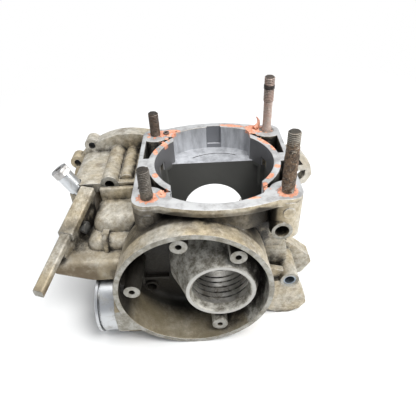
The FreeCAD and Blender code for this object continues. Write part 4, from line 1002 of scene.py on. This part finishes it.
CRUSTS = ((crust_right, (0.145, 0.09, 0.052, 1), (0.030, 0.022, 0.015, 1), (0.36, 0.30, 0.22, 1)),
          (crust_left, (0.12, 0.10, 0.072, 1), (0.03, 0.025, 0.018, 1), (0.26, 0.23, 0.185, 1)),
          (crust_back, (0.10, 0.068, 0.045, 1), (0.032, 0.023, 0.016, 1), (0.19, 0.14, 0.10, 1)))
for piece, *tones in CRUSTS:
    paint(piece, crust_material(piece.name + "_rust", *tones))
print("crusts painted", len(CRUSTS))

# %% [markdown]
# ## Sealant left on the seat
# The sealant squeezed out round the studs and was smeared towards the bore. Metaballs flow into one
# another as such a paste does, so each smear is a run of balls. They are laid out in millimetres,
# because metaballs have a coarsest and a finest size, and the mesh is then shrunk and pressed flat.

# %% Smears
BALL_SHOWS = 1.15  # a ball shows this many times its radius
PRESSED = 0.30
FILM_THICK = 0.00005


def smear(name, node, beads, lumps):
    """Run of soft balls turned to a mesh, pressed flat, cut level with the seat and made lumpy."""
    fresh_start()
    for number, (x, y, radius) in enumerate(beads):
        bpy.ops.object.metaball_add(type="BALL", radius=radius / BALL_SHOWS, location=(x, y, 0))
        if number == 0:
            first = bpy.context.object
            first.name = name
            first.data.resolution = 0.7
            first.data.render_resolution = 0.7
            bpy.ops.object.mode_set(mode="EDIT")
    bpy.ops.object.mode_set(mode="OBJECT")
    bpy.ops.object.convert(target="MESH")
    piece = bpy.context.object
    piece.name = name
    bpy.ops.object.transform_apply(location=True, rotation=True, scale=True)
    edit_all()
    shrink = (MILLIMETRE, MILLIMETRE, MILLIMETRE * PRESSED)
    bpy.ops.transform.resize(value=shrink, center_override=(0, 0, 0))
    bpy.ops.mesh.bisect(plane_co=(0, 0, FILM_THICK), plane_no=UP, use_fill=True, clear_inner=True)
    settle(piece)
    displace(piece, coarse_lumps, lumps)
    displace(piece, fine_lumps, 0.6 * lumps)
    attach(piece, "root")
    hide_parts(node)
    return piece

print("smears ready")

# %% Beads of each smear: place on the seat and radius, in millimetres
SMEARS = {
    "back_left": ((-63, 50, 4), (-62, 56.5, 3.4), (-56, 60, 3.6), (-50, 60, 3.6), (-50, 50, 4.2),
                  (-57, 47, 3.4), (-44, 58.5, 3.8), (-38, 58.5, 3.8), (-34, 59, 3.0), (-43, 51, 4.6),
                  (-45, 44, 4.2), (-42.5, 39.5, 3.0), (-48, 37, 3.4), (-49.5, 31, 2.2), (-52, 25, 1.8),
                  (-54, 18, 1.5)),
    "back_right": ((14, 68.8, 1.7), (19, 68.2, 2.1), (25, 67, 2.5), (31, 64.5, 2.8), (36.5, 61, 3.6),
                   (38.5, 53, 3.6), (43, 54, 4.6), (42.5, 47.5, 3.8), (48, 57, 3.6), (50, 50, 3.2),
                   (46, 43, 2.4), (56.5, 60.5, 2.6), (61, 57, 2.2), (61.5, 50.5, 2.0), (55, 48, 2.4),
                   (48, 36.5, 1.6), (50.5, 31, 1.4), (53, 26, 1.2), (55.5, 20, 1.1), (57, 14, 1.1)),
    "front_right": ((50, -51, 2.6), (49.5, -56, 2.8), (52, -60.5, 2.8), (57, -62, 2.8), (62, -59, 2.6),
                    (63.2, -54, 2.4), (61, -48.5, 2.4), (56, -46.5, 2.4), (41, -44, 1.7), (40, -47, 2.0),
                    (38, -50.5, 1.8), (43, -50, 1.4), (47.5, -29, 1.7), (46, -32, 1.8), (44, -35, 1.5),
                    (55.2, -14.5, 1.5), (54.5, -17.5, 1.6), (37, -58, 0.9), (27, -60.5, 1.0)),
    "front_left": ((-63.2, -50, 2.2), (-63.6, -55, 2.3), (-61, -59.6, 2.3), (-56.5, -61.5, 2.4),
                   (-51, -59.5, 2.5), (-49.6, -55, 2.4), (-50.5, -49.5, 2.4), (-45, -50, 2.4),
                   (-43, -53, 1.8), (-47, -46.5, 2.0), (-43.5, -46, 2.0), (-41.5, -43, 1.4),
                   (-52.8, -20, 1.3), (-52, -23, 1.4))}
smear_pieces = []
for place_name, beads in SMEARS.items():
    smear_pieces.append(smear("smear_" + place_name, "sealant_" + place_name, beads, 0.0009))
print("smears", [piece.name for piece in smear_pieces])

# %% [markdown]
# ## The curled end of the sealant
# One strand near the back right stud was torn up and stands off the seat. A curve with a small bevel
# that thins towards its tip gives such a strand with five points, and it is turned to a mesh after.

# %% Torn strand
# x, y, z and thickness
STRAND = ((0.0440, 0.0560, 0.0012, 1.7), (0.0485, 0.0585, 0.0026, 1.5), (0.0505, 0.0600, 0.0052, 1.1),
          (0.0492, 0.0620, 0.0082, 0.75), (0.0470, 0.0632, 0.0104, 0.35))
fresh_start()
bpy.ops.curve.primitive_nurbs_path_add(radius=1.0, location=(0, 0, 0))
strand = bpy.context.object
strand.name = "sealant_strand"
strand.data.bevel_depth = 0.0015
strand.data.bevel_resolution = 3
strand.data.use_fill_caps = True
for point, (x, y, z, width) in zip(strand.data.splines[0].points, STRAND):
    point.co = (x, y, z, 1.0)
    point.radius = width
bpy.ops.object.convert(target="MESH")
strand = bpy.context.object
settle(strand)
displace(strand, fine_lumps, 0.0006)
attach(strand, "root")
smear_pieces.append(strand)
print("strand points", len(STRAND))

# %% [markdown]
# ## Material: sealant
# Cured silicone sealant is soft to look at: a little light goes into it, it has no metal sheen, and
# dirt greys it here and there.

# %% Sealant
sealant, tree, shader = new_material("sealant_rubber")
place = object_place(tree)
lumps = noise(tree, place, 260.0, 5.0, 0.65, 0.4)
colour = blend(tree, ramp(tree, lumps, 0.35, 0.65), SEALANT_ORANGE, SEALANT_PALE)
# dirt and painted shade in the sealant's creases
corner_dirt_and_shade = use_group(tree, dirt_shade_group, Reach=0.003, Amount=0.6)
colour = blend(tree, corner_dirt_and_shade.outputs["Mask"], colour, (0.25, 0.12, 0.08, 1))
smut = ramp(tree, noise(tree, place, 420.0, 5.0, 0.75), 0.56, 0.68, 0.0, 0.7)
colour = blend(tree, smut, colour, (0.20, 0.13, 0.10, 1))
put(tree, shader, Base_Color=colour, Roughness=0.55, Subsurface_Weight=0.15, Subsurface_Scale=0.002)
bump(tree, shader, lumps, 0.0008, 0.9)
for piece in smear_pieces:
    paint(piece, sealant)
print("sealant painted", len(smear_pieces))
